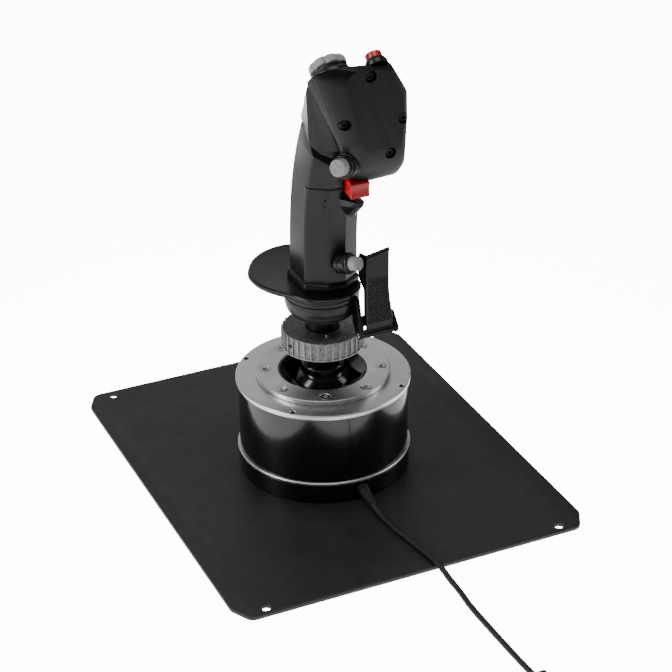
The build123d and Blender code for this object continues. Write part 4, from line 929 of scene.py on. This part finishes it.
REAR_Y, PARTING_Y, MIDDLE_Y, FRONT_Y = -13.0, 20.0, 28.0, 33.0
REAR_OUTLINE = [(8, 300), (-34, 300), (-41, 280), (-42, 262), (-41, 246), (-36, 240), (3, 240), (8, 246)]
SHOULDER_Y = 12.0
SHOULDER_OUTLINE = [
    (15, 302), (-37.5, 300), (-47, 280), (-47.5, 262), (-46, 234), (-41.5, 229), (12.5, 229), (12.5, 244),
]
PARTING_OUTLINE = [
    (21, 305, 2), (-39, 300, 4), (-50, 280), (-50, 262), (-47.5, 229), (-43, 223), (-12, 220.5), (-4.7, 243),
]
MIDDLE_OUTLINE = [
    (10, 305), (-38, 299.5, 4), (-49, 280), (-49.3, 262), (-47.5, 231.5), (-42.5, 225), (-14, 224.5), (-6, 246),
]
FRONT_OUTLINE = [
    (-1, 302.5), (-36, 298, 4), (-44.5, 279), (-45, 262), (-43, 247), (-39, 244), (-19, 245), (-14.5, 253),
]
SCREWS = [(-21.4, 295.9, 29.3), (-4.3, 265.2, 26.4), (-44.4, 263.9, 29.3), (-35.4, 241.3, 28.6)]
BARREL_L = 14.0


def barrel_frame(face, direction):
    """Frame at the foot of a barrel button whose cap face is centred on face."""
    return along_axis(Vector(face) - Vector(direction).normalized() * BARREL_L, direction)


SIDE_FRAME = barrel_frame((2.5, 32.5, 238.0), (0.8, 0.55, 0.22))
LOWER_FRAME = barrel_frame((-13.7, 30.0, 165.6), (-0.4, 0.87, 0.28))


def head_ring(outline, y, corner=5.0):
    return [Vector((p.x, y, p.y)) for p in rounded(outline, corner, 7)]


def build_head():
    rear = head_ring(REAR_OUTLINE, REAR_Y)
    shoulder = head_ring(SHOULDER_OUTLINE, SHOULDER_Y)
    parting = head_ring(PARTING_OUTLINE, PARTING_Y)
    middle = head_ring(MIDDLE_OUTLINE, MIDDLE_Y, 8.0)
    front = head_ring(FRONT_OUTLINE, FRONT_Y, 9.0)

    shell_rings = [[a.lerp(b, t) for a, b in zip(rear, shoulder)] for t in frange(0, 1, 10)]
    shell_rings += [[a.lerp(b, t) for a, b in zip(shoulder, parting)] for t in frange(0, 1, 6)[1:]]
    shell = Builder().grid(shell_rings)
    shell.slice_off(RIDGE, THUMB_NORMAL)
    shell.slice_off(UNDERCUT, UNDERCUT_NORMAL)
    shell_obj = bare_object("head_shell_moulded", shell)
    soften(shell_obj, 1.6, angle=34, thin_near=lambda p: p.y > PARTING_Y - 0.3, thin=0.22)
    cut(shell_obj, trigger_well())
    cut(shell_obj, side_well())
    finished(shell_obj, ["head_shell"], "grip_black")

    cover_rings = []
    for t in frange(0, 1, 16):
        ring = []
        for p, m, f in zip(parting, middle, front):
            control = 2 * m - 0.5 * (p + f)
            ring.append(p * (1 - t) ** 2 + control * 2 * t * (1 - t) + f * t**2)
        cover_rings.append(ring)
    cover = Builder().grid(cover_rings)
    cover.slice_off(RIDGE, THUMB_NORMAL)
    cover_obj = bare_object("head_cover_moulded", cover)
    soften(cover_obj, 4.5, segments=9, angle=20, thin_near=lambda p: p.y < PARTING_Y + 0.3, thin=0.08)
    recesses = Builder()
    for x, z, seat in SCREWS:
        here = placed((x, seat, z), (0, 1, 0))
        recesses.lathe([(0, 0), (3.9, 0), (3.9, 9), (0, 9)], here, steps=48)
    cut(cover_obj, recesses)
    cut(cover_obj, trigger_well())
    cut(cover_obj, side_well())
    finished(cover_obj, ["head_cover"], "grip_black")

    screws = Builder()
    for x, z, seat in SCREWS:
        here = placed((x, seat, z), (0, 1, 0))
        screws.lathe(
            eased([(0, 0.8), (1.35, 0.8), (1.5, 2.2), (2.4, 2.2, 0.3), (3.4, 1.4, 0.6), (3.4, 0), (0, 0)], 0.15),
            here,
            steps=36,
        )
    piece("cover_screws_button_head", screws, ["cover_screws"], "black_metal")


# ---------------------------------------------------------------- trigger and push buttons


def thumb_frame(x, along, height=0.0):
    """Frame on the sloping thumb face, at x, a distance down from its top ridge."""
    down = Vector((0, -math.cos(THUMB_TILT), -math.sin(THUMB_TILT)))
    origin = Vector((x, RIDGE.y, RIDGE.z)) + down * along + THUMB_NORMAL * height
    return placed(origin, THUMB_NORMAL)


def build_trigger():
    side = rounded(
        [(10.5, 224, 1), (10.5, 214, 1.5), (28.8, 211.8, 0.6), (28.1, 217, 14), (29.2, 222.2, 0.6), (25, 224, 1)],
        1,
        6,
    )
    block = bare_object(
        "trigger_moulded", Builder().prism(side, 0, 13.4, placed((-22.4, 0, 0), (1, 0, 0), (0, 1, 0)))
    )
    soften(block, 0.8, angle=40)
    stem = rounded([(12.6, 224), (19.4, 224), (19.4, 237.4, 3.3), (12.6, 237.4, 3.3)], 0.5)
    arm = bare_object("stem", Builder().prism(stem, 0, 8, placed((-19.7, 0, 0), (1, 0, 0), (0, 1, 0))))
    combine(block, arm, "UNION")
    bore = placed((-24, 16, 234), (1, 0, 0))
    cut(block, Builder().lathe([(0, 0), (1.55, 0), (1.55, 20), (0, 20)], bore, steps=32))
    finished(block, ["trigger"], "control_red")


RED_FRAME = thumb_frame(-30, 5.5)
TRIM_FRAME = thumb_frame(-1.2, 13)


def build_buttons():
    collar = eased([(5.65, 0.5), (5.65, 4.0, 0.3), (6.3, 4.0, 0.4), (7.4, 1.8, 0.6), (7.5, -1), (0, -1)], 0.2)
    piece(
        "red_button_collar_moulded",
        Builder().lathe([(0, 0.5), *collar], RED_FRAME, steps=64),
        ["red_button_collar"],
        "grip_black",
    )
    cap = eased([(0, 2.5), (5.5, 2.5), (5.5, 8.5, 0.7), (3.6, 8.5, 0.6), (3.2, 8.3, 0.4), (0, 8.25)], 0.2)
    piece("red_button_moulded", Builder().lathe(cap, RED_FRAME, steps=64), ["red_button"], "control_red")

    ring = eased(
        [
            (5.8, 1.5), (5.8, 7.6, 0.4), (7.2, 7.6, 0.6), (7.3, 5.9, 0.3), (7.6, 5.2, 0.3), (8.4, 4.9, 0.5),
            (8.4, 1.6, 0.3), (8.1, 1.3, 0.2), (8.1, 0.9, 0.2), (8.4, 0.6, 0.3), (8.4, -2), (0, -2),
        ],
        0.3,
    )
    side = bare_object("side_button_collar_moulded", Builder().lathe([(0, 1.5), *ring], SIDE_FRAME, steps=72))
    cut(side, trigger_well())
    finished(side, ["side_button_collar"], "grip_black")
    steps = [(0, 3.5), (5.7, 3.5), (5.7, 13.5, 0.5), (5.3, 14.0, 0.3)]
    for groove_r in (4.3, 3.0, 1.7):
        steps += [(groove_r + 0.4, 14.0, 0.1), (groove_r, 13.65, 0.1), (groove_r - 0.4, 14.0, 0.1)]
    cap = eased([*steps, (0, 14.0)])
    piece("side_button_moulded", Builder().lathe(cap, SIDE_FRAME, steps=72), ["side_button"], "cap_grey")

    boss = eased(
        [
            (4.9, 1.5), (4.9, 7.8, 0.3), (6.2, 7.8, 0.5), (6.4, 6.2, 0.3), (7.2, 5.6, 0.6), (7.2, 1.0, 0.3),
            (6.9, 0.7, 0.2), (6.9, 0.3, 0.2), (7.2, 0.0, 0.3), (7.2, -3), (0, -3),
        ],
        0.3,
    )
    piece(
        "lower_button_boss_moulded",
        Builder().lathe([(0, 1.5), *boss], LOWER_FRAME, steps=64),
        ["lower_button_boss"],
        "grip_black",
    )
    cap = eased([(0, 3.5), (4.8, 3.5), (4.8, 13.5, 0.5), (4.4, 14.0, 0.4), (3.8, 14.0, 0.3), (3.6, 13.8, 0.3), (0, 13.75)])
    piece("lower_button_moulded", Builder().lathe(cap, LOWER_FRAME, steps=64), ["lower_button"], "cap_grey")


# ---------------------------------------------------------------- hats


def lobed(radius, lobes, depth, steps=144):
    """A scalloped round outline."""
    points = []
    for k in range(steps):
        angle = TURN * k / steps
        notch = max(0.0, math.cos(lobes * angle + math.pi)) ** 2
        points.append((radius - depth * notch, angle))
    return points


def lobed_rings(profile, lobes, depth, at):
    """Rings for a scalloped cap; each level is (radius, height, share of the scallop)."""
    rings = []
    for radius, height, share in profile:
        outline = lobed(radius, lobes, depth * share)
        rings.append([at @ Vector((r * math.cos(a), r * math.sin(a), height)) for r, a in outline])
    return rings


def build_trim_hat():
    collar = eased(
        [(4.05, 2), (4.2, 2), (4.2, 0.4), (8.2, 0.4), (8.2, 4.8, 0.5), (9.6, 4.8, 1.5), (12.4, 3.5, 2.5), (14, 1.6, 1), (14, -1), (0, -1)],
        0.3,
    )
    piece(
        "trim_hat_collar_moulded",
        Builder().lathe([(0, -0.45), (2.4, 0.3), (3.4, 1.2), *collar], TRIM_FRAME, steps=96),
        ["trim_hat_collar"],
        "grip_black",
    )
    profile = [
        (0.6, 7.7, 0), (3.2, 6.2, 0), (4.0, 4.5, 0), (5.9, 4.4, 0), (6.0, 4.7, 0), (6.0, 7.0, 0), (6.6, 7.6, 0),
        (8.6, 7.1, 0.2), (11.0, 6.5, 0.8), (12.2, 6.4, 1), (12.6, 6.9, 1), (12.6, 9.8, 1), (12.3, 11.0, 1),
        (11.5, 11.9, 1), (10.4, 12.4, 0.9), (8.0, 12.3, 0.5), (6.0, 12.0, 0.2), (4.6, 11.5, 0), (2.0, 11.4, 0),
    ]
    cap = Builder().grid(lobed_rings(profile, 8, 1.3, TRIM_FRAME))
    piece("trim_hat_moulded", cap, ["trim_hat"], "cap_grey")


def build_small_hats():
    right = thumb_frame(1.5, 48)
    left = thumb_frame(-30, 40)
    side = along_axis((-45.5, 4, 262), (-1, 0, 0))
    collars = Builder()
    for at, radius in ((right, 5.0), (left, 6.0), (side, 6.5)):
        well = radius - 1.3
        path = eased(
            [
                (2.25, 1.6), (2.4, 1.6), (2.4, 0.4), (well, 0.4), (well, 2.9, 0.3), (radius - 0.5, 3.0, 0.5),
                (radius, 2.2, 0.4), (radius, -1), (0, -1),
            ],
            0.2,
        )
        collars.lathe([(0, 0.3), (1.4, 0.7), *path], at, steps=64)
    piece("hat_collars_moulded", collars, ["hat_collars"], "grip_black")
    for name, at, lobes, cap_r in (("right_hat", right, 4, 4.6), ("left_hat", left, 4, 5.4), ("side_hat", side, 8, 5.6)):
        profile = [
            (0.4, 4.86, 0), (1.8, 4.0, 0), (2.2, 3.25, 0), (2.8, 3.2, 0), (2.9, 3.4, 0), (2.9, 4.7, 0),
            (3.3, 5.1, 0), (cap_r - 0.5, 5.3, 0.8), (cap_r, 5.7, 1), (cap_r - 0.1, 7.6, 1),
            (cap_r - 0.5, 8.5, 1), (cap_r - 1.2, 8.8, 0.8), (cap_r * 0.5, 8.6, 0.2), (cap_r * 0.4, 8.1, 0),
            (0.6, 8.0, 0),
        ]
        cap = Builder().grid(lobed_rings(profile, lobes, 0.9, at))
        piece(f"{name}_moulded", cap, [name], "cap_grey")


# ---------------------------------------------------------------- paddle

PADDLE_RIGHT, PADDLE_LEFT = -19.4, -36.0
BRACKET_RIGHT, BRACKET_LEFT, EAR_T = -13.5, -42.0, 2.6
LEVER_LEFT, LEVER_RIGHT = BRACKET_LEFT + EAR_T + 0.3, BRACKET_RIGHT - EAR_T - 0.3


def build_bracket():
    inner_ear = rounded(
        [
            (25.5, 137, 0.5), (32.6, 113.4, 2.5), (31.6, 108.7, 2.5), (26.4, 108.6, 2), (20, 117, 4),
            (17.5, 126, 4), (17.5, 137, 0.5),
        ]
    )
    outer_ear = rounded([(25, 122, 1.5), (32.6, 113.4, 2.5), (31.6, 108.7, 2.5), (26.4, 108.6, 2), (21.5, 113, 2), (21.5, 122, 1)])
    bridge = rounded([(-42, 114, 1), (-13.5, 114, 1), (-13.5, 121.5, 1), (-42, 121.5, 1)])
    forms = Builder()
    forms.prism(inner_ear, -EAR_T, 0, placed((BRACKET_RIGHT, 0, 0), (1, 0, 0), (0, 1, 0)))
    inner = bare_object("paddle_bracket_milled", forms)
    soften(inner, 0.4, angle=50)
    for outline, low, high, at in (
        (outer_ear, 0, EAR_T, placed((BRACKET_LEFT, 0, 0), (1, 0, 0), (0, 1, 0))),
        (bridge, 21.5, 23.7, Matrix(((1, 0, 0, 0), (0, 0, 1, 0), (0, 1, 0, 0), (0, 0, 0, 1)))),
    ):
        plate = bare_object("bracket_plate", Builder().prism(outline, low, high, at))
        soften(plate, 0.4, angle=50)
        combine(inner, plate, "UNION")
    finished(inner, ["paddle_bracket"], "black_metal")
    pin = Builder().lathe(
        eased([(0, -0.8), (1.1, -0.8), (1.25, -0.6), (1.25, 28.5), (2.0, 28.5), (2.0, 29.2, 0.6), (0, 29.7)], 0.2),
        placed((BRACKET_LEFT, 29, 111.5), (1, 0, 0)),
        steps=36,
    )
    piece("paddle_pin_turned", pin, ["paddle_pin"], "steel")


def lever_edges(z):
    """Left and right edge of the paddle blade at a height."""
    left_edge = [(112, LEVER_LEFT), (117, LEVER_LEFT), (126, -38.0), (134, -36.8), (145, -35.8), (173, -36.0)]
    for (z0, x0), (z1, x1) in zip(left_edge, left_edge[1:]):
        if z <= z1:
            return x0 + (x1 - x0) * (z - z0) / (z1 - z0), PADDLE_RIGHT
    return left_edge[-1][1], PADDLE_RIGHT


KNURL_LOW, KNURL_HIGH, KNURL_PITCH, KNURL_DEPTH = 119.0, 152.0, 3.0, 0.6


def knurl(x, z):
    """How far the diamond pattern stands out at a place on the blade."""
    a = abs(((x + z) / KNURL_PITCH) % 1 - 0.5) * 2
    b = abs(((x - z) / KNURL_PITCH) % 1 - 0.5) * 2
    inside = KNURL_LOW < z < KNURL_HIGH
    return KNURL_DEPTH * min(a, b) ** 0.7 if inside else KNURL_DEPTH * 0.55


def build_paddle():
    """The blade, its knurled pad, its side flange and the barrel it turns on."""
    columns, rows = 84, 260
    blade = Builder()
    front, back = [], []
    for r in range(rows + 1):
        share = r / rows
        front_row, back_row = [], []
        for c in range(columns + 1):
            across = c / columns
            low_z = 112.0
            high_z = 172.6 - 3.1 * across
            z = low_z + (high_z - low_z) * share
            left, right = lever_edges(z)
            x = left + (right - left) * across
            edge = min(across, 1 - across) * (right - left)
            ease = 0.5 * max(0.0, 1 - edge / 0.6) ** 2 + 0.5 * max(0.0, 1 - (high_z - z) / 0.6) ** 2
            y = 29.4 + knurl(x, z) - ease
            if edge < 0.9 or high_z - z < 0.9:
                y = 29.4 + KNURL_DEPTH * 0.55 - ease
            lip = 0.9 * math.exp(-(((high_z - z - 1.4) / 0.9) ** 2))
            front_row.append(blade.bm.verts.new((x, y + lip, z)))
            back_row.append(blade.bm.verts.new((x, 28.0 + 0.3 * ease, z)))
        front.append(front_row)
        back.append(back_row)
    for r in range(rows):
        for c in range(columns):
            blade.bm.faces.new((front[r][c], front[r][c + 1], front[r + 1][c + 1], front[r + 1][c]))
            blade.bm.faces.new((back[r][c], back[r + 1][c], back[r + 1][c + 1], back[r][c + 1]))
        for c in (0, columns):
            blade.bm.faces.new((front[r][c], front[r + 1][c], back[r + 1][c], back[r][c]))
    for c in range(columns):
        for r in (0, rows):
            blade.bm.faces.new((front[r][c], front[r][c + 1], back[r][c + 1], back[r][c]))
    paddle = bare_object("paddle_lever_knurled", blade)
    flange = bare_object(
        "paddle_flange_milled",
        Builder().prism(
            rounded([(28.6, 121), (28.6, 169), (17.5, 166.5), (15.5, 160), (16.5, 149), (20, 145.5), (24.6, 143), (25, 121)], 2),
            0,
            1.6,
            placed((PADDLE_RIGHT - 1.6, 0, 0), (1, 0, 0), (0, 1, 0)),
        ),
    )
    soften(flange, 0.3, angle=50)
    barrel = bare_object(
        "paddle_barrel_turned",
        Builder().lathe(
            eased([(1.3, 0), (2.6, 0), (2.8, 0.3), (2.8, LEVER_RIGHT - LEVER_LEFT - 0.3), (2.6, LEVER_RIGHT - LEVER_LEFT), (1.3, LEVER_RIGHT - LEVER_LEFT)], 0.1),
            placed((LEVER_LEFT, 29, 111.5), (1, 0, 0)),
            steps=48,
            closed=True,
        ),
    )
    finished(paddle, ["paddle_lever"], "black_metal")
    for detail in (flange, barrel):
        extra(detail, "paddle", "black_metal")


# ---------------------------------------------------------------- cable

CABLE_POINTS = [
    (-2.0, 60, 10.5), (-2.0, 68, 8.8), (-2.0, 76, 7.0), (-2.7, 88, 5.4), (-4.2, 104, 5.0), (-7.6, 124, 5.1),
    (-10.6, 143, 5.3), (-11.4, 155.5, 5.5), (-11.8, 168, 3.4), (-12.3, 181, 2.1), (-11, 204, 2.1),
    (-11.9, 255, 2.1), (-12.0, 278, 3.6),
]


def tube(builder, path, radius_at, steps=24):
    """A round tube along a path of points."""
    rings = []
    for i, point in enumerate(path):
        before, after = path[max(i - 1, 0)], path[min(i + 1, len(path) - 1)]
        at = placed(point, after - before, (1, 0, 0))
        radius = radius_at(i / (len(path) - 1))
        rings.append(
            [at @ Vector((radius * math.cos(TURN * k / steps), radius * math.sin(TURN * k / steps), 0)) for k in range(steps)]
        )
    return builder.grid(rings)


def build_cable():
    path = spline(CABLE_POINTS, per_span=10)
    piece("usb_cable_sheath", tube(Builder(), path, lambda t: 2.0), ["usb_cable"], "cable_rubber")

    start, end = Vector((-2, 58.6, 10.7)), Vector((-2, 76.5, 6.95))

    def relief_radius(t):
        taper = 4.3 - 1.4 * t
        rib = 0.5 + 0.5 * math.cos(TURN * (t * 6.5))
        return taper - 0.75 * (1 - rib) ** 0.6 * (t > 0.08)

    relief = [start.lerp(end, t) for t in frange(0, 1, 90)]
    piece("strain_relief_ribbed", tube(Builder(), relief, relief_radius, 32), ["strain_relief"], "cable_rubber")

    sleeve = rounded([(-19, 0), (-5, 0), (-5, 7.8), (-19, 7.8)], 2.2)
    to_front = Matrix(((1, 0, 0, 0), (0, 0, 1, 0), (0, 1, 0, 0), (0, 0, 0, 1)))
    plug = bare_object("usb_plug_overmoulded", Builder().prism(sleeve, 278.2, 304, to_front))
    soften(plug, 1.2, angle=50)
    grooves = Builder()
    for k in range(4):
        path = rounded([(-22, -2), (-2, -2), (-2, 10), (-22, 10)], 1)
        grooves.prism(path, 281 + 2.4 * k, 282 + 2.4 * k, to_front)
    core = bare_object("core", Builder().prism(rounded([(-18.4, 0.6), (-5.6, 0.6), (-5.6, 7.2), (-18.4, 7.2)], 2), 276, 306, to_front))
    ring = bare_object("ring", grooves)
    combine(ring, core, "DIFFERENCE")
    combine(plug, ring, "DIFFERENCE")
    finished(plug, ["usb_plug"], "cable_rubber")
    metal = bare_object("usb_plug_shield", Builder().prism(rounded([(-18, 1.65), (-6, 1.65), (-6, 6.15), (-18, 6.15)], 0.5), 304, 315.7, to_front))
    cut(metal, Builder().prism([(-17.6, 2.05), (-6.4, 2.05), (-6.4, 5.75), (-17.6, 5.75)], 305, 317, to_front))
    extra(metal, "base", "steel")


# ---------------------------------------------------------------- build everything

build_plate()
build_housing()
build_flange()
build_gate()
build_dome()
build_socket()
build_lock_ring()
build_neck_and_bowl()
build_hand_rest()
build_handle()
build_front_panel()
build_head()
build_trigger()
build_buttons()
build_trim_hat()
build_small_hats()
build_bracket()
build_paddle()
build_cable()

# the inner works keep their CAD meshes, with finished materials
slot_of = {entry["node"]: entry["material_slot"] for entry in frame["record"]["subparts"]}
for name, obj in frame["nodes"].items():
    if obj.hide_render:
        continue
    obj.data.materials.clear()
    obj.data.materials.append(MATERIALS[slot_of[name]])
    for polygon in obj.data.polygons:
        polygon.material_index = 0
        polygon.use_smooth = True
    obj.data.set_sharp_from_angle(angle=math.radians(32))

# ---------------------------------------------------------------- studio


FLOOR_WHITE = 12.0
# strength of the painted pool of light that glows on the floor round the stick's foot
FLOOR_POOL_GLOW = 2.5


def build_floor():
    floor = bare_object("floor", Builder().prism([(-4000, -4000), (4000, -4000), (4000, 4000), (-4000, 4000)], -2.3, -0.3))
    material, shader = new_material("floor_paper", (0.93, 0.93, 0.925), roughness=0.9)
    # the paper glows evenly white for camera rays only, and glows as a painted pool of light round the foot of the
    # stick, which lights the stick's downward faces
    seen = node(material, "ShaderNodeLightPath")
    pool = node(material, "ShaderNodeTexGradient", gradient_type="SPHERICAL")
    wire(material, object_point(material, (2.2, 2.2, 2.2)), pool.inputs["Vector"])
    glow = node(material, "ShaderNodeMath", operation="MULTIPLY_ADD")
    wire(material, seen.outputs["Is Camera Ray"], glow.inputs[0])
    glow.inputs[1].default_value = FLOOR_WHITE
    # painted pool of light: the gradient's glow, added for every ray
    pool_glow = node(material, "ShaderNodeMath", operation="MULTIPLY")
    wire(material, pool.outputs["Fac"], pool_glow.inputs[0])
    pool_glow.inputs[1].default_value = FLOOR_POOL_GLOW
    wire(material, pool_glow.outputs[0], glow.inputs[2])
    wire(material, glow.outputs[0], shader.inputs["Emission Strength"])
    shader.inputs["Emission Color"].default_value = (1.0, 1.0, 1.0, 1)
    floor.data.materials.append(material)


def soft_light(name, place, aim, size, brightness, color=(1, 1, 1), in_view=True):
    """A rectangular softbox; brightness is its radiance."""
    lamp = bpy.data.lights.new(name, "AREA")
    lamp.shape = "RECTANGLE"
    lamp.size, lamp.size_y = size
    lamp.energy = brightness * math.pi * size[0] * size[1]
    lamp.color = color
    made = bpy.data.objects.new(name, lamp)
    bpy.context.scene.collection.objects.link(made)
    made.location = place
    made.visible_camera = in_view
    made.rotation_mode = "QUATERNION"
    made.rotation_quaternion = (Vector(aim) - Vector(place)).to_track_quat("-Z", "Y")


def build_world():
    world = bpy.data.worlds.new("studio")
    bpy.context.scene.world = world
    world.use_nodes = True
    world.node_tree.nodes["Background"].inputs["Color"].default_value = (0.95, 0.97, 1.0, 1)
    world.node_tree.nodes["Background"].inputs["Strength"].default_value = 0.05


def build_camera():
    lens = bpy.data.cameras.new("camera")
    lens.lens = 109.17
    lens.sensor_width = 36.0
    lens.clip_start, lens.clip_end = 0.1, 30
    camera = bpy.data.objects.new("camera", lens)
    bpy.context.scene.collection.objects.link(camera)
    right = Vector((-0.90861, 0.41752, -0.01008))
    up = Vector((-0.21001, -0.43589, 0.87515))
    rotation = Matrix((right, up, right.cross(up))).transposed().to_4x4()
    camera.matrix_world = Matrix.Translation((0.49169, 1.10834, 0.76992)) @ rotation
    bpy.context.scene.camera = camera


build_floor()
build_world()
soft_light("backdrop", (0, -2.8, 1.4), (0, 0, 0.2), (4.0, 2.0), 0.55)
soft_light("key_left", (2.2, -0.2, 1.4), (0, 0, 0.18), (0.6, 1.8), 8.0)
soft_light("top", (0, 0, 2.4), (0, 0, 0), (1.6, 1.6), 3.4)
soft_light("floor_left", (0.78, 0.1, 0.02), (0.78, 0.1, 1), (0.5, 0.9), 6.0, in_view=False)
soft_light("floor_back", (-0.15, -0.9, 0.02), (-0.15, -0.9, 1), (1.2, 0.7), 2.5, in_view=False)
soft_light("right_rim", (-2.0, 0.6, 1.0), (0, 0, 0.15), (0.7, 1.6), 2.6)
build_camera()
